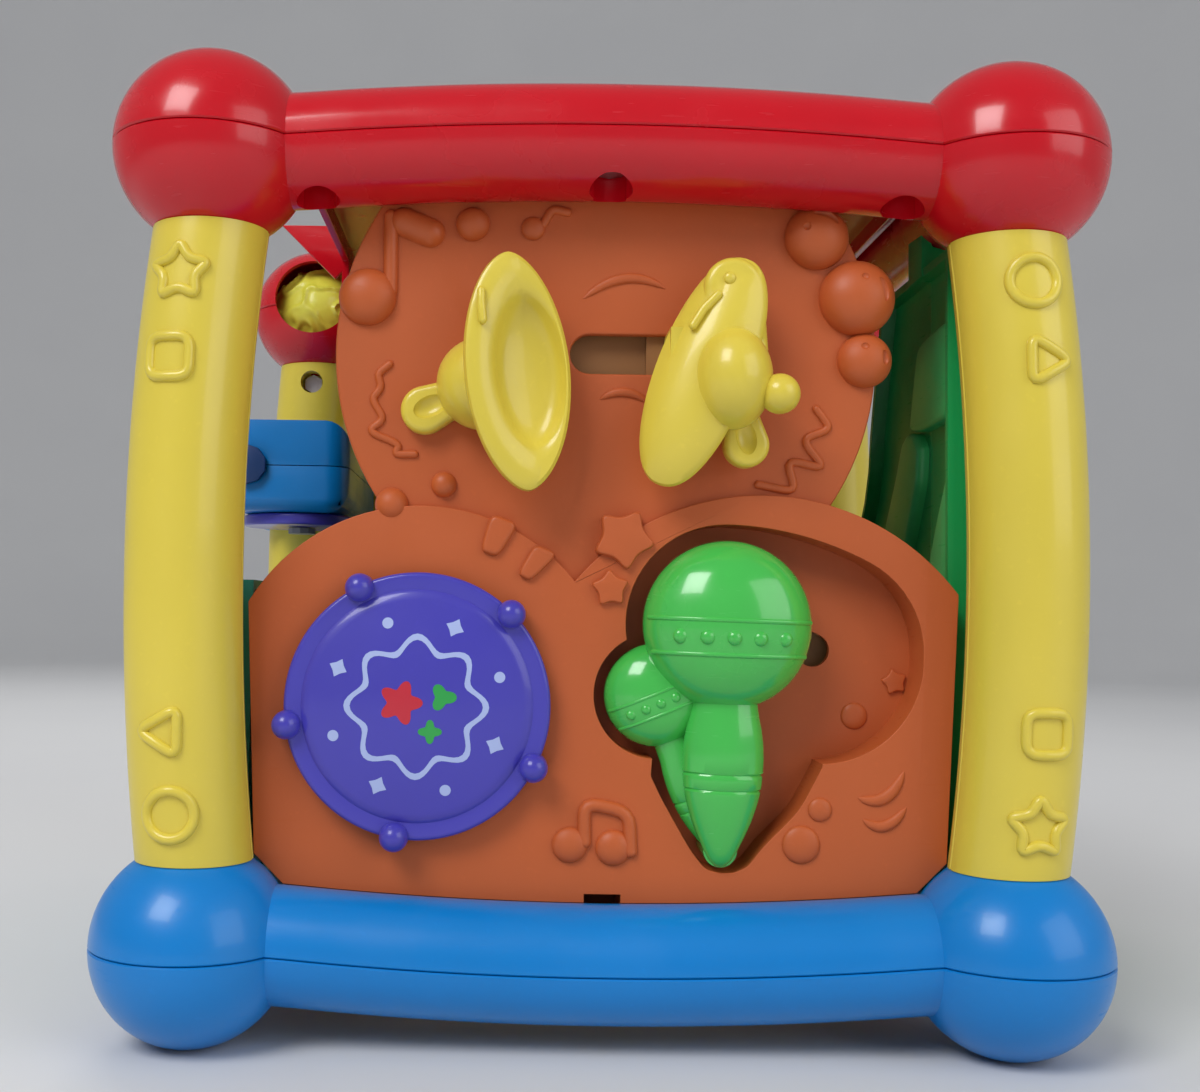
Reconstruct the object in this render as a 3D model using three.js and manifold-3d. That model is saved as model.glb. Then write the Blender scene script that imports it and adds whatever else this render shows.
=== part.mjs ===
// Activity cube: two rings of bars and balls, four bowed posts and panels with moving toys.
// Millimetres, +Z up, front face towards -Y, origin on the floor under the middle of the cube.
import * as THREE from 'three';
import { mergeVertices } from 'three/addons/utils/BufferGeometryUtils.js';
import Module from 'manifold-3d';

const wasm = await Module();
wasm.setup();

// Fits that many pieces share
const gap = 0.3;
const overrun = 2;
const weldTolerance = 0.0001;
const wall = 2.5;

// Corner balls and the two rings
const ballPitch = 218;
const ringPitch = 214.8;
const ballRadius = 27;
const footFlat = 0.5;
const barRadius = 15.7;
const barBow = 4;
const seamGap = 0.3;
const barBite = 1.3;

// Posts
const postRadius = 15.6;
const postBow = 5.8;
const spigotRadius = 10;
const spigotRise = 1.5;
const postPlugLength = 16;
const postScrewInset = 8.4;

// Screws in bars and posts
const screwHeadRadius = 4;
const screwHeadHeight = 2.4;
const screwShankRadius = 1.5;
const screwLength = 14;
const screwBossRadius = 6.8;
const counterboreRadius = 4.6;
const screwSeatDepth = 6;

// Front panel housing, seen from the front: x to the right, height above the floor
const lobeFace = 104;
const discStep = 2.6;
const housingDepth = 24;
const discRadius = 75.3;
const discDrop = 53.1;
const panelHalfWidth = 97.5;
const panelFootHalfWidth = 94.2;
const panelShoulderHeight = 121;
const panelFootChamfer = 9;
const panelBottom = 40.6;
const leftLobeRadius = 54.5;
const rightLobeX = 44;
const rightLobeHeight = 82;
const rightLobeRadius = 67.2;
const tongueX = 62;
const tongueWidth = 14;
const tongueThickness = 3;
const tongueReach = 4;
const tongueSet = 10;
const latchNotchWidth = 10;
const latchNotchDepth = 1.6;
const latchNotchX = 0.6;

// Drum button
const drumX = -50.25;
const drumHeight = 90.4;
const drumRimRadius = 36;
const drumDomeRadius = 30.4;
const drumFace = 110;
const drumRimThickness = 3.2;
const drumDomeRise = 3.6;
const drumLugRadius = 3.8;
const drumLugCount = 5;
const drumLugStart = 45;
const drumSkirtRadius = 29.5;
const drumSkirtLength = 11;
const drumHookReach = 1.8;
const drumHookWidth = 8;
const drumHookHeight = 2;
const drumStemRadius = 3.5;
const drumStemEnd = 88;
const springOuterRadius = 7.2;
const springThickness = 1.2;
const switchRadius = 9;
const switchHeight = 9.5;
const switchBoreDepth = 6.5;

// Maraca bay, its floor and the maracas
const pivotX = 32.4;
const pivotRise = 11.8;
const bayDepth = 14;
const bayMargin = 4.5;
const smallMargin = 3;
const bayTipRadius = 6.1;
const bayEndReach = 58.7;
const bayEndRadius = 28.6;
const maracaReach = 61;
const maracaHeadRadius = 23.1;
const maracaLean = 1.3;
const maracaSwing = 26;
const maracaFlatShare = 0.62;
const maracaTip = 4.5;
const smallDrop = 16;
const smallHeadRadius = 14.2;
const smallLean = -23;
const smallRecess = 5;
const handleTipRadius = 4.6;
const handleBellyRadius = 11.1;
const handleNeckRadius = 8.9;
const handleBellyReach = 24.3;
const neckPlaceShare = 0.95;
const hubRadius = 4.6;
const pivotPinRadius = 2.6;
const pivotPinHeadRadius = 5.6;
const pivotPinHeadHeight = 2.2;
const guideBossRadius = 3.7;
const guideNeckRadius = 2.2;
const guideSlotHalf = 4.7;
const clipRadius = 7;
const clipThickness = 2;

// Cymbals
const cymbalDrop = 7.9;
const cymbalRadius = 32.2;
const cymbalDepth = 7;
const cymbalPlate = 3;
const leftCymbalX = -24.8;
const leftCymbalHalfWidth = 14.4;
const leftCymbalLean = 6;
const leftCymbalStand = 15;
const rightCymbalX = 24.2;
const rightCymbalHalfWidth = 11.5;
const rightCymbalLean = -23;
const rightCymbalStand = 13;
const cymbalTurn = 16;
const leftBossShift = 9.2;
const leftBossDrop = 1.8;
const leftBossRadius = 12.8;
const leftBossStand = 5;
const leftStrapShift = 25.2;
const leftStrapDrop = 9;
const leftStrapRadius = 6.6;
const rightBossShift = 8.8;
const rightBossDrop = 1.3;
const rightBossRadius = 12.2;
const rightBossStand = 14.5;
const knobShift = 20.5;
const knobDrop = 5.1;
const knobRadius = 5.4;
const knobStand = 19;
const rightStrapShift = 12.2;
const rightStrapDrop = 17.3;
const rightStrapRadius = 6.6;
const rightStrapStand = 7;
const strapBore = 2.4;
const strapThickness = 5;
const pedestalRadius = 8;
const cymbalPegRadius = 5;
const cymbalPegLength = 6;
const slotLength = 47;
const slotHeight = 11;
const slotLeftX = -10;
const slotRise = 7.9;
const neckShift = 7.7;
const neckWidth = 20;
const sliderPlateThickness = 2.4;
const sliderPlateOverlap = 5;
const sliderScrewRadius = 2.2;

// Rear cover and what is inside the housing
const coverThickness = 2.5;
const coverBossRadius = 4;
const bossInset = 11;
const discBossShare = 0.8;
const discBossRiseShare = 0.34;
const coverScrewRadius = 1.5;
const coverScrewHeadRadius = 3.2;
const boardThickness = 1.6;
const boardWidth = 46;
const boardHeight = 26;
const boardX = -31;
const boardCentreHeight = 160;
const boardStandoff = 3;
const standoffRadius = 2.6;
const standoffPinRadius = 1.2;
const standoffInset = 4;
const speakerRadius = 14;
const speakerDepth = 7;
const speakerX = 48;
const speakerHeight = 166;
const speakerRing = 1.6;
const speakerHoleRadius = 1.8;
const speakerHoleReach = 8;
const speakerHoleCount = 4;
const batteryRadius = 7.1;
const batteryLength = 50;
const batteryNubRadius = 2.7;
const batteryNubLength = 1.4;
const batteryPitch = 16;
const batteryCentreHeight = 207;
const batteryWall = 1.6;
const doorMargin = 4;
const doorThickness = 2;
const doorPlug = 1.6;
const doorEarWidth = 12;
const doorEarLength = 8;

// Top, back and side panels
const panelPlate = 3;
const sideSkirtDepth = 7.5;
const sideFace = 105.5;
const sideClearance = 0.4;
const topPlateRise = 5.7;
const topLap = 0.7;
const topDomeRadius = 62;
const topDomeRise = 6;
const guardInset = 25;
const guardOutInset = 1;
const gussetDrop = 9;
const gussetCorner = 5;
const guardRise = 9.7;
const guardDrop = 12.3;
const guardBackInset = 25;
const guardWall = 2.5;
const leftPanelTop = 124;
const leafTop = 222;
const leafShoulderY = -21;
const leafMidY = -6;
const leafMidHeight = 178;
const leafBackHeight = 118;
const bladeWidth = 9;
const bladeRise = 4;
const leafReachShare = 0.45;
const bladeFrontY = -52;
const bladeBackY = -44;
const bladeLow = 60;
const bladeHigh = 172;
const trayWidth = 24;
const trayHeight = 28;
const trayInset = 30;
const trayLow = 174;
const ribWidth = 2;

// Bracket on the back left post, its spinner and cap
const bracketOutX = -128;
const bracketInX = -83;
const bracketFrontY = 0;
const clampWall = 3;
const bracketBackGap = 1;
const bracketBottom = 150;
const bracketTop = 182;
const bracketRound = 8;
const capX = -118;
const capRadius = 7;
const capThickness = 2.5;
const capPegRadius = 3;
const capPegLength = 6;
const spinnerX = -102;
const spinnerY = 25;
const spinnerRadius = 21;
const spinnerThickness = 4;
const axleRadius = 2.5;
const axleHeadRadius = 5;
const axleHeadHeight = 2;
const axleDepth = 12;

// Roller ball in the cage
const rollerRadius = 18.4;
const rollerBumpRadius = 2.6;
const rollerBumpCount = 6;
const rollerRowTurn = 34;
const windowRadius = 15.6;
const windowLift = 4;
const rollerAxleRadius = 2.2;
const rollerSeatRadius = 4.6;

// Facets of the round forms
const ballSides = 12;
const ballRings = 3;
const domeRings = 3;
const hollowRings = 2;
const sectionSides = 6;
const innerSides = 4;
const sweepSteps = 3;
const beanSteps = 6;
const knobSides = 10;
const knobRings = 6;
const smallSides = 6;
const holeSides = 10;
const boltSides = 6;
const drumSides = 20;
const dishSides = 16;
const bigSides = 28;
const leafSteps = 8;
const discSides = 44;

// Places that follow from the sizes
const half = ballPitch / 2;
const baseHeight = ballRadius - footFlat;
const topHeight = baseHeight + ringPitch;
const middleHeight = (baseHeight + topHeight) / 2;
const bossReach = Math.sqrt((barRadius - wall / 2) ** 2 - screwBossRadius ** 2);
const barHalfSpan = half - Math.sqrt(ballRadius ** 2 - barRadius ** 2);
const postHalfSpan = ringPitch / 2 - Math.sqrt(ballRadius ** 2 - postRadius ** 2);
const discFace = lobeFace - discStep;
const housingBack = lobeFace - housingDepth;
const bayFloor = lobeFace - bayDepth;
const maracaDepth = bayFloor + 2 * gap + maracaHeadRadius * maracaFlatShare;
const degrees = Math.PI / 180;
const quarterTurn = 90;
const fullTurn = 2 * 2 * quarterTurn;
const eighthTurn = (quarterTurn / 2) * degrees;
const pivotHeight = panelBottom + pivotRise;
const smallReach = maracaReach - smallDrop;
const discHeight = topHeight - discDrop;
const cymbalHeight = discHeight - cymbalDrop;
const sideHalfWidth = half - postRadius - sideClearance;
const topPlateHeight = topHeight + topPlateRise;
const topHalf = half - barRadius + topLap;
const guardX = guardInset - half;
const guardOutX = guardOutInset - half;
const guardTop = topHeight + guardRise;
const guardBottom = topHeight - guardDrop;
const guardBackY = half - guardBackInset;
const leftBossX = leftCymbalX - leftBossShift;
const leftBossHeight = cymbalHeight - leftBossDrop;
const leftStrapX = leftCymbalX - leftStrapShift;
const leftStrapHeight = cymbalHeight - leftStrapDrop;
const rightBossX = rightCymbalX + rightBossShift;
const rightBossHeight = cymbalHeight - rightBossDrop;
const knobX = rightCymbalX + knobShift;
const knobHeight = cymbalHeight - knobDrop;
const rightStrapX = rightCymbalX + rightStrapShift;
const rightStrapHeight = cymbalHeight - rightStrapDrop;
const slotCentre = cymbalHeight + slotRise;
const neckLeftX = rightCymbalX - neckShift;

// Colours and surfaces
const finishes = {
  red: { color: 0xd8121f, roughness: 0.22, metalness: 0 },
  navy: { color: 0x0b2f6b, roughness: 0.35, metalness: 0 },
  blue: { color: 0x0a78d0, roughness: 0.25, metalness: 0 },
  yellow: { color: 0xf2c81e, roughness: 0.3, metalness: 0 },
  orange: { color: 0xd96a2c, roughness: 0.42, metalness: 0 },
  purple: { color: 0x4a2fa8, roughness: 0.28, metalness: 0 },
  green: { color: 0x35b535, roughness: 0.25, metalness: 0 },
  leaf: { color: 0x14843c, roughness: 0.3, metalness: 0 },
  teal: { color: 0x149a96, roughness: 0.35, metalness: 0 },
  lime: { color: 0xb8c41e, roughness: 0.4, metalness: 0 },
  grey: { color: 0x8a8d90, roughness: 0.5, metalness: 0 },
  board: { color: 0x1d6b3a, roughness: 0.55, metalness: 0 },
  steel: { color: 0xb9bcc0, roughness: 0.35, metalness: 1 },
  cell: { color: 0x3a3d42, roughness: 0.4, metalness: 0.3 },
};

// Solids from three.js geometry
function solid(geometry) {
  const bare = geometry.clone();
  bare.deleteAttribute('normal');
  bare.deleteAttribute('uv');
  const welded = mergeVertices(bare, weldTolerance);
  const at = welded.attributes.position.array;
  const corners = [];
  let volume = 0;
  for (let i = 0; i < welded.index.count; i += 3) {
    const [a, b, c] = [0, 1, 2].map((k) => welded.index.getX(i + k));
    if (a !== b && b !== c && c !== a) {
      corners.push(a, b, c);
      const p = new THREE.Vector3().fromArray(at, 3 * a);
      const q = new THREE.Vector3().fromArray(at, 3 * b);
      volume += p.dot(q.cross(new THREE.Vector3().fromArray(at, 3 * c)));
    }
  }
  if (volume < 0) corners.reverse();
  const mesh = new wasm.Mesh({
    numProp: 3,
    vertProperties: new Float32Array(at),
    triVerts: new Uint32Array(corners),
  });
  return new wasm.Manifold(mesh);
}

function geometryOf(body) {
  const mesh = body.getMesh();
  const geometry = new THREE.BufferGeometry();
  const stride = mesh.numProp;
  const count = mesh.vertProperties.length / stride;
  const points = new Float32Array(3 * count);
  for (let i = 0; i < count; i += 1) {
    points.set(mesh.vertProperties.subarray(i * stride, i * stride + 3), 3 * i);
  }
  geometry.setAttribute('position', new THREE.BufferAttribute(points, 3));
  geometry.setIndex(new THREE.BufferAttribute(mesh.triVerts.slice(), 1));
  geometry.computeVertexNormals();
  return geometry;
}

function union(...bodies) {
  return bodies.flat().reduce((sum, body) => sum.add(body));
}

function cut(body, ...tools) {
  return tools.flat().reduce((rest, tool) => rest.subtract(tool), body);
}

// Basic forms: all prisms and discs stand along z
function prism(shape, from, to, segments = holeSides) {
  const options = { depth: to - from, bevelEnabled: false, curveSegments: segments };
  return solid(new THREE.ExtrudeGeometry(shape, options).translate(0, 0, from));
}

function disc(x, y, radius, from, to, sides = holeSides) {
  const geometry = new THREE.CylinderGeometry(radius, radius, to - from, sides);
  return solid(geometry.rotateX(Math.PI / 2).translate(x, y, (from + to) / 2));
}

function block(x0, x1, y0, y1, z0, z1) {
  const geometry = new THREE.BoxGeometry(x1 - x0, y1 - y0, z1 - z0);
  return solid(geometry.translate((x0 + x1) / 2, (y0 + y1) / 2, (z0 + z1) / 2));
}

function ball(x, y, z, radius, sides = knobSides, rings = knobRings) {
  return solid(new THREE.SphereGeometry(radius, sides, rings).rotateX(Math.PI / 2).translate(x, y, z));
}

function polygon(points) {
  return new THREE.Shape(points.map(([x, y]) => new THREE.Vector2(x, y)));
}

// A revolved form about z from points of radius and height
function revolved(points, sides) {
  const profile = points.map(([radius, height]) => new THREE.Vector2(radius, height));
  return new THREE.LatheGeometry(profile, sides).rotateX(Math.PI / 2);
}

// Centre line of a bar or post: straight tails, then a shallow arch towards z
class BowedLine extends THREE.Curve {
  constructor(halfSpan, bow, tail) {
    super();
    Object.assign(this, { halfSpan, bow, reach: halfSpan + tail });
  }

  getPoint(t, target = new THREE.Vector3()) {
    const x = this.reach * (2 * t - 1);
    const share = Math.max(0, 1 - (x / this.halfSpan) ** 2);
    return target.set(x, 0, this.bow * share);
  }
}

// Half of a tube's section, or of a rod's where inner is zero, its middle turned from the arch by turn
function halfSection(outer, inner, turn, clear, outerSides = sectionSides) {
  const points = [];
  const arc = (radius, sign, sides) => {
    const start = Math.PI / 2 - Math.asin(clear / radius);
    for (let i = 0; i <= sides; i += 1) {
      const angle = turn + sign * start * (1 - (2 * i) / sides);
      points.push([-radius * Math.cos(angle), radius * Math.sin(angle)]);
    }
  };
  arc(outer, 1, outerSides);
  if (inner > 0) arc(inner, -1, innerSides);
  return polygon(points);
}

function roundSection(radius, turn = 0) {
  const points = [];
  for (let i = 0; i < 2 * sectionSides; i += 1) {
    const angle = turn + (Math.PI * i) / sectionSides;
    points.push([radius * Math.cos(angle), radius * Math.sin(angle)]);
  }
  return polygon(points);
}

function sweep(section, line) {
  return new THREE.ExtrudeGeometry(section, { steps: sweepSteps, bevelEnabled: false, extrudePath: line });
}

// Screws: head at z from zero up, shank below
function screwGeometry(length) {
  const profile = [
    [0, -length],
    [screwShankRadius, -length],
    [screwShankRadius, 0],
    [screwHeadRadius, 0],
    [screwHeadRadius, screwHeadHeight],
    [0, screwHeadHeight],
  ];
  return revolved(profile, smallSides);
}

// Scene graph
const cube = new THREE.Group();
cube.name = 'activity_cube';

function piece(name, body, finish, parent = cube) {
  const mesh = new THREE.Mesh(geometryOf(body), new THREE.MeshStandardMaterial(finish));
  mesh.name = name;
  parent.add(mesh);
  return mesh;
}

// Rings: each bar is a line of its own, turned about z and lifted to its ring
const corners = [[-1, -1], [1, -1], [1, 1], [-1, 1]];
const barTurns = { front: 0, right: Math.PI / 2, back: Math.PI, left: -Math.PI / 2 };

function placeBar(geometry, side, height) {
  const outward = side === 'left' || side === 'right' ? [Math.sin(barTurns[side]), 0] : [
    0, -Math.cos(barTurns[side]),
  ];
  return geometry.rotateZ(barTurns[side]).translate(half * outward[0], half * outward[1], height);
}

function barLine(direction) {
  return new BowedLine(barHalfSpan, direction * barBow, barBite);
}

function barHalf(side, height, direction, upper) {
  const section = halfSection(barRadius, barRadius - wall, upper ? 0 : Math.PI, seamGap / 2);
  return solid(placeBar(sweep(section, barLine(direction)), side, height));
}

function barRod(side, height, direction, radius) {
  return solid(placeBar(sweep(roundSection(radius), barLine(direction)), side, height));
}

function hemisphere(upper) {
  const points = [];
  const arc = (radius, from, to, steps) => {
    for (let i = 0; i <= steps; i += 1) {
      const angle = from + ((to - from) * i) / steps;
      points.push([radius * Math.cos(angle), radius * Math.sin(angle)]);
    }
  };
  const start = Math.asin(seamGap / 2 / ballRadius);
  const startInside = Math.asin(seamGap / 2 / (ballRadius - wall));
  arc(ballRadius, start, Math.PI / 2, ballRings);
  arc(ballRadius - wall, Math.PI / 2, startInside, hollowRings);
  points.push(points[0]);
  const geometry = revolved(points.map(([r, z]) => [Math.max(0, r), z]), ballSides);
  return upper ? geometry : geometry.rotateX(Math.PI);
}

// Screw in the middle of each bar, entering the lower half from below
function barMiddle(side, direction, height) {
  const at = placeBar(new THREE.BufferGeometry().setFromPoints([new THREE.Vector3(0, 0, 0)]), side, height);
  const [x, y, z] = at.attributes.position.array;
  return { x, y, z: z + direction * barBow };
}

function ringHalf(sides, height, direction, upper, postSide) {
  const bars = sides.map((side) => {
    const mid = barMiddle(side, direction, height);
    const shell = barHalf(side, height, direction, upper);
    if (upper) {
      const boss = disc(mid.x, mid.y, screwBossRadius, mid.z + seamGap / 2, mid.z + bossReach, boltSides);
      const pilot = disc(
        mid.x, mid.y, screwShankRadius + gap, mid.z - overrun, mid.z + screwLength - screwSeatDepth + gap,
        smallSides,
      );
      return cut(union(shell, boss), pilot);
    }
    const boss = disc(mid.x, mid.y, screwBossRadius, mid.z - bossReach, mid.z - seamGap / 2, boltSides);
    const shank = disc(
      mid.x, mid.y, screwShankRadius + gap, mid.z - barRadius, mid.z + overrun, smallSides,
    );
    const counterbore = disc(
      mid.x, mid.y, counterboreRadius, mid.z - barRadius - overrun, mid.z - screwSeatDepth, boltSides,
    );
    return cut(union(shell, boss), shank, counterbore);
  });
  const shells = corners.map(([sx, sy]) => solid(hemisphere(upper).translate(
    sx * half, sy * half, height,
  )));
  const body = union(shells, bars);
  const sockets = corners.map(([sx, sy]) => {
    const from = postSide < 0 ? height - ballRadius - overrun : height;
    const to = postSide < 0 ? height : height + ballRadius + overrun;
    return disc(sx * half, sy * half, spigotRadius + gap, from, to, boltSides);
  });
  return (upper ? postSide > 0 : postSide < 0) ? cut(body, sockets) : body;
}

function barScrews(ring, sides, direction, height) {
  for (const side of sides) {
    const mid = barMiddle(side, direction, height);
    const screw = screwGeometry(screwLength).rotateX(Math.PI);
    const seat = mid.z - screwSeatDepth - gap;
    piece(`${ring}_screw_${side}`, solid(screw.translate(mid.x, mid.y, seat)), finishes.steel);
  }
}

// The cage at the back left corner of the top ring
const cage = { x: -half, y: half, z: topHeight };

function cageWindow() {
  const tool = new THREE.CylinderGeometry(windowRadius, windowRadius, ballRadius, ballSides);
  return solid(tool.translate(cage.x, cage.y - ballRadius / 2 - rollerRadius / 2, cage.z + windowLift));
}

function cageSeat(side, upper) {
  const inner = cage.x + side * (rollerRadius + rollerBumpRadius / 2 + gap);
  const outer = cage.x + side * (ballRadius - wall / 2);
  const boss = new THREE.CylinderGeometry(
    rollerSeatRadius, rollerSeatRadius, Math.abs(outer - inner), holeSides,
  );
  const body = solid(boss.rotateZ(Math.PI / 2).translate((inner + outer) / 2, cage.y, cage.z));
  const far = rollerSeatRadius + overrun;
  const [z0, z1] = upper ? [seamGap / 2, far] : [-far, -seamGap / 2];
  return body.intersect(block(
    cage.x - half, cage.x + half, cage.y - far, cage.y + far, cage.z + z0, cage.z + z1,
  ));
}

function axleBore() {
  const length = 2 * (ballRadius - wall) + gap;
  const rod = new THREE.CylinderGeometry(rollerAxleRadius + gap, rollerAxleRadius + gap, length, holeSides);
  return solid(rod.rotateZ(Math.PI / 2).translate(cage.x, cage.y, cage.z));
}

const topSides = ['front', 'right', 'back'];
const baseSides = ['front', 'right', 'back', 'left'];

function topRingHalf(upper) {
  const body = ringHalf(topSides, topHeight, 1, upper, -1);
  const seated = union(body, cageSeat(-1, upper), cageSeat(1, upper));
  return cut(seated, cageWindow(), axleBore());
}

function panelSlots(side, height, upward) {
  const insets = {
    front: [0, tongueSet],
    left: [tongueSet, 0],
    right: [-tongueSet, 0],
    back: [0, -tongueSet],
  };
  const inset = insets[side];
  const from = upward ? 0 : -barRadius - overrun;
  const to = upward ? barRadius + overrun : 0;
  return [-1, 1].map((s) => {
    const w = tongueWidth / 2 + gap;
    const t = tongueThickness / 2 + gap;
    const slot = new THREE.BoxGeometry(2 * w, 2 * t, to - from).translate(s * tongueX, 0, (from + to) / 2);
    return solid(placeBar(slot, side, height).translate(inset[0], inset[1], 0));
  });
}

const topSlots = topSides.map((side) => panelSlots(side, topHeight, false)).flat();
const baseSlots = baseSides.map((side) => panelSlots(side, baseHeight, true)).flat();
piece('top_ring_upper', cut(topRingHalf(true), topTabs(gap)), finishes.red);
piece('top_ring_lower', cut(topRingHalf(false), topSlots), finishes.red);
piece('base_ring_upper', cut(ringHalf(baseSides, baseHeight, -1, true, 1), baseSlots), finishes.blue);
const floorCut = block(-ballPitch, ballPitch, -ballPitch, ballPitch, -ballRadius, 0);
piece('base_ring_lower', cut(ringHalf(baseSides, baseHeight, -1, false, 1), floorCut), finishes.blue);
barScrews('top', topSides, 1, topHeight);
barScrews('base', baseSides, -1, baseHeight);

// Posts: front and back halves that close round the spigots, with a screw near each end
function postFrame(sx, sy) {
  const out = new THREE.Vector3(sx, sy, 0).normalize();
  const up = new THREE.Vector3(0, 0, 1);
  const side = new THREE.Vector3().crossVectors(out, up);
  const matrix = new THREE.Matrix4().makeBasis(up, side, out);
  return matrix.setPosition(sx * half, sy * half, middleHeight);
}

function postLine(tail) {
  return new BowedLine(postHalfSpan, postBow, tail);
}

function postRod(sx, sy, radius) {
  return solid(sweep(roundSection(radius, eighthTurn), postLine(gap)).applyMatrix4(postFrame(sx, sy)));
}

function postHalf(sx, sy, outside) {
  const turn = -sx * sy * eighthTurn + (outside ? 0 : Math.PI);
  const frame = postFrame(sx, sy);
  const rod = (radius, line, sides) => solid(sweep(
    halfSection(radius, 0, turn, seamGap / 2, sides), line,
  ).applyMatrix4(frame));
  const inside = middleHeight - postHalfSpan + postPlugLength;
  const hollow = rod(postRadius - wall, postLine(0), innerSides).intersect(
    block(-ballPitch, ballPitch, -ballPitch, ballPitch, inside, 2 * middleHeight - inside),
  );
  const balls = [
    baseHeight, topHeight,
  ].map((z) => ball(sx * half, sy * half, z, ballRadius + gap, ballSides, 2 * ballRings));
  const whole = rod(postRadius, postLine(gap), sectionSides);
  const away = (outside ? 1 : -1) * sy;
  const body = cut(whole, balls, hollow);
  const spigots = [-1, 1].map((end) => {
    const root = middleHeight + end * (postHalfSpan - postPlugLength / 2);
    const ballCentre = end > 0 ? topHeight : baseHeight;
    const depth = Math.sqrt((ballRadius - wall) ** 2 - spigotRadius ** 2) - spigotRise;
    const tip = ballCentre - end * depth;
    const spigot = disc(
      sx * half, sy * half, spigotRadius, Math.min(root, tip), Math.max(root, tip), boltSides,
    );
    const split = sy * half + (away * seamGap) / 2;
    const shoulder = middleHeight + end * postHalfSpan;
    const [y0, y1] = away > 0 ? [split, split + ballRadius] : [split - ballRadius, split];
    const beyond = block(-ballPitch, ballPitch, y0, y1, Math.min(shoulder, tip), Math.max(shoulder, tip));
    return union(spigot.intersect(whole), spigot.intersect(beyond));
  });
  return union(body, spigots);
}

function postScrewPlace(sx, sy, end) {
  const local = postHalfSpan - postScrewInset;
  const bow = (postBow * (1 - (local / postHalfSpan) ** 2)) / Math.SQRT2;
  return { x: sx * (half + bow), y: sy * (half + bow), z: middleHeight + end * local };
}

function alongY(geometry, sy, x, y, z) {
  return solid(geometry.rotateX((sy * Math.PI) / 2).translate(x, y, z));
}

function makePost(name, sx, sy) {
  const places = [-1, 1].map((end) => postScrewPlace(sx, sy, end));
  const bore = (radius, from, to, place) => {
    const length = to - from;
    const rod = new THREE.CylinderGeometry(radius, radius, length, smallSides);
    return solid(rod.translate(place.x, place.y + sy * (from + length / 2), place.z));
  };
  const seat = -screwSeatDepth;
  const pilots = places.map((place) => bore(
    screwShankRadius + gap, seat - overrun, seat + screwLength + gap, place,
  ));
  const counterbores = places.map((place) => bore(counterboreRadius, -postRadius - overrun, seat, place));
  piece(`${name}_outer`, cut(postHalf(sx, sy, true), pilots), finishes.yellow);
  piece(`${name}_inner`, cut(postHalf(sx, sy, false), pilots, counterbores), finishes.yellow);
  places.forEach((place, i) => {
    const screw = screwGeometry(screwLength - gap);
    const y = place.y + sy * (seat - gap);
    piece(`${name}_screw_${i ? 'upper' : 'lower'}`, alongY(screw, sy, place.x, y, place.z), finishes.steel);
  });
}

makePost('front_left_post', -1, -1);
makePost('front_right_post', 1, -1);
makePost('back_left_post', -1, 1);
makePost('back_right_post', 1, 1);

// Panels are drawn flat: x to the right, y the height, z towards the viewer, then stood up
function standing(turn) {
  const upright = new THREE.Group();
  upright.rotation.x = Math.PI / 2;
  const group = new THREE.Group();
  group.rotation.z = turn;
  group.add(upright);
  cube.add(group);
  return upright;
}

const frontSide = standing(0);
const rightSide = standing(Math.PI / 2);
const backSide = standing(Math.PI);
const leftSide = standing(-Math.PI / 2);

// What a standing panel must clear: the bar above it and the bar below it
function panelBar(height, direction) {
  const rod = sweep(roundSection(barRadius + gap), barLine(direction));
  return solid(rod.rotateX(-Math.PI / 2).translate(0, height, half));
}

const cornerClearances = [topHeight, baseHeight].flatMap((height) => [-1, 1].map((s) => {
  const form = new THREE.SphereGeometry(ballRadius + 2 * gap, ballSides, 2 * ballRings);
  return solid(form.translate(s * half, height, half));
}));
const panelBars = [panelBar(topHeight, 1), panelBar(baseHeight, -1), ...cornerClearances];
const seatTop = topHeight + barBow - barRadius - gap;

function tongues(depth, top) {
  const z0 = depth - tongueThickness / 2;
  const edges = top ? [-1, 1] : [-1];
  return edges.flatMap((edge) => [-1, 1].map((s) => {
    const x = s * tongueX;
    const share = 1 - (tongueX / barHalfSpan) ** 2;
    const centre = edge > 0 ? topHeight + barBow * share : baseHeight - barBow * share;
    const offset = Math.sqrt(barRadius ** 2 - tongueSet ** 2);
    const tip = centre - edge * (offset - tongueReach);
    const root = centre - edge * (offset + 3 * wall);
    return block(
      x - tongueWidth / 2, x + tongueWidth / 2, Math.min(tip, root), Math.max(tip, root), z0,
      z0 + tongueThickness,
    );
  }));
}

// Outlines of the front panel, drawn inset by a wall where the inside is wanted
function lobeOutline(inset) {
  const w = panelHalfWidth - inset;
  const f = panelFootHalfWidth - inset;
  const b = panelBottom + inset;
  const low = inset > 0 ? b : baseHeight;
  const limits = polygon([
    [-f + panelFootChamfer, low], [f - panelFootChamfer, low], [f - panelFootChamfer, b],
    [f, b + panelFootChamfer], [w, panelShoulderHeight], [w, discHeight], [-w, discHeight],
    [-w, panelShoulderHeight], [-f, b + panelFootChamfer], [-f + panelFootChamfer, b],
  ]);
  const z0 = housingBack - overrun;
  const z1 = lobeFace + overrun;
  const left = disc(drumX, drumHeight, leftLobeRadius - inset, z0, z1, bigSides);
  const right = disc(rightLobeX, rightLobeHeight, rightLobeRadius - inset, z0, z1, bigSides);
  const lower = block(-w, w, low, rightLobeHeight, z0, z1);
  return union(left, right, lower).intersect(prism(limits, z0, z1));
}

function discOutline(inset) {
  const z0 = housingBack - overrun;
  const round = disc(0, discHeight, discRadius - inset, z0, lobeFace + overrun, discSides);
  const w = panelHalfWidth;
  return round.intersect(block(-w, w, rightLobeHeight, seatTop + wall - inset, z0, lobeFace + overrun));
}

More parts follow.
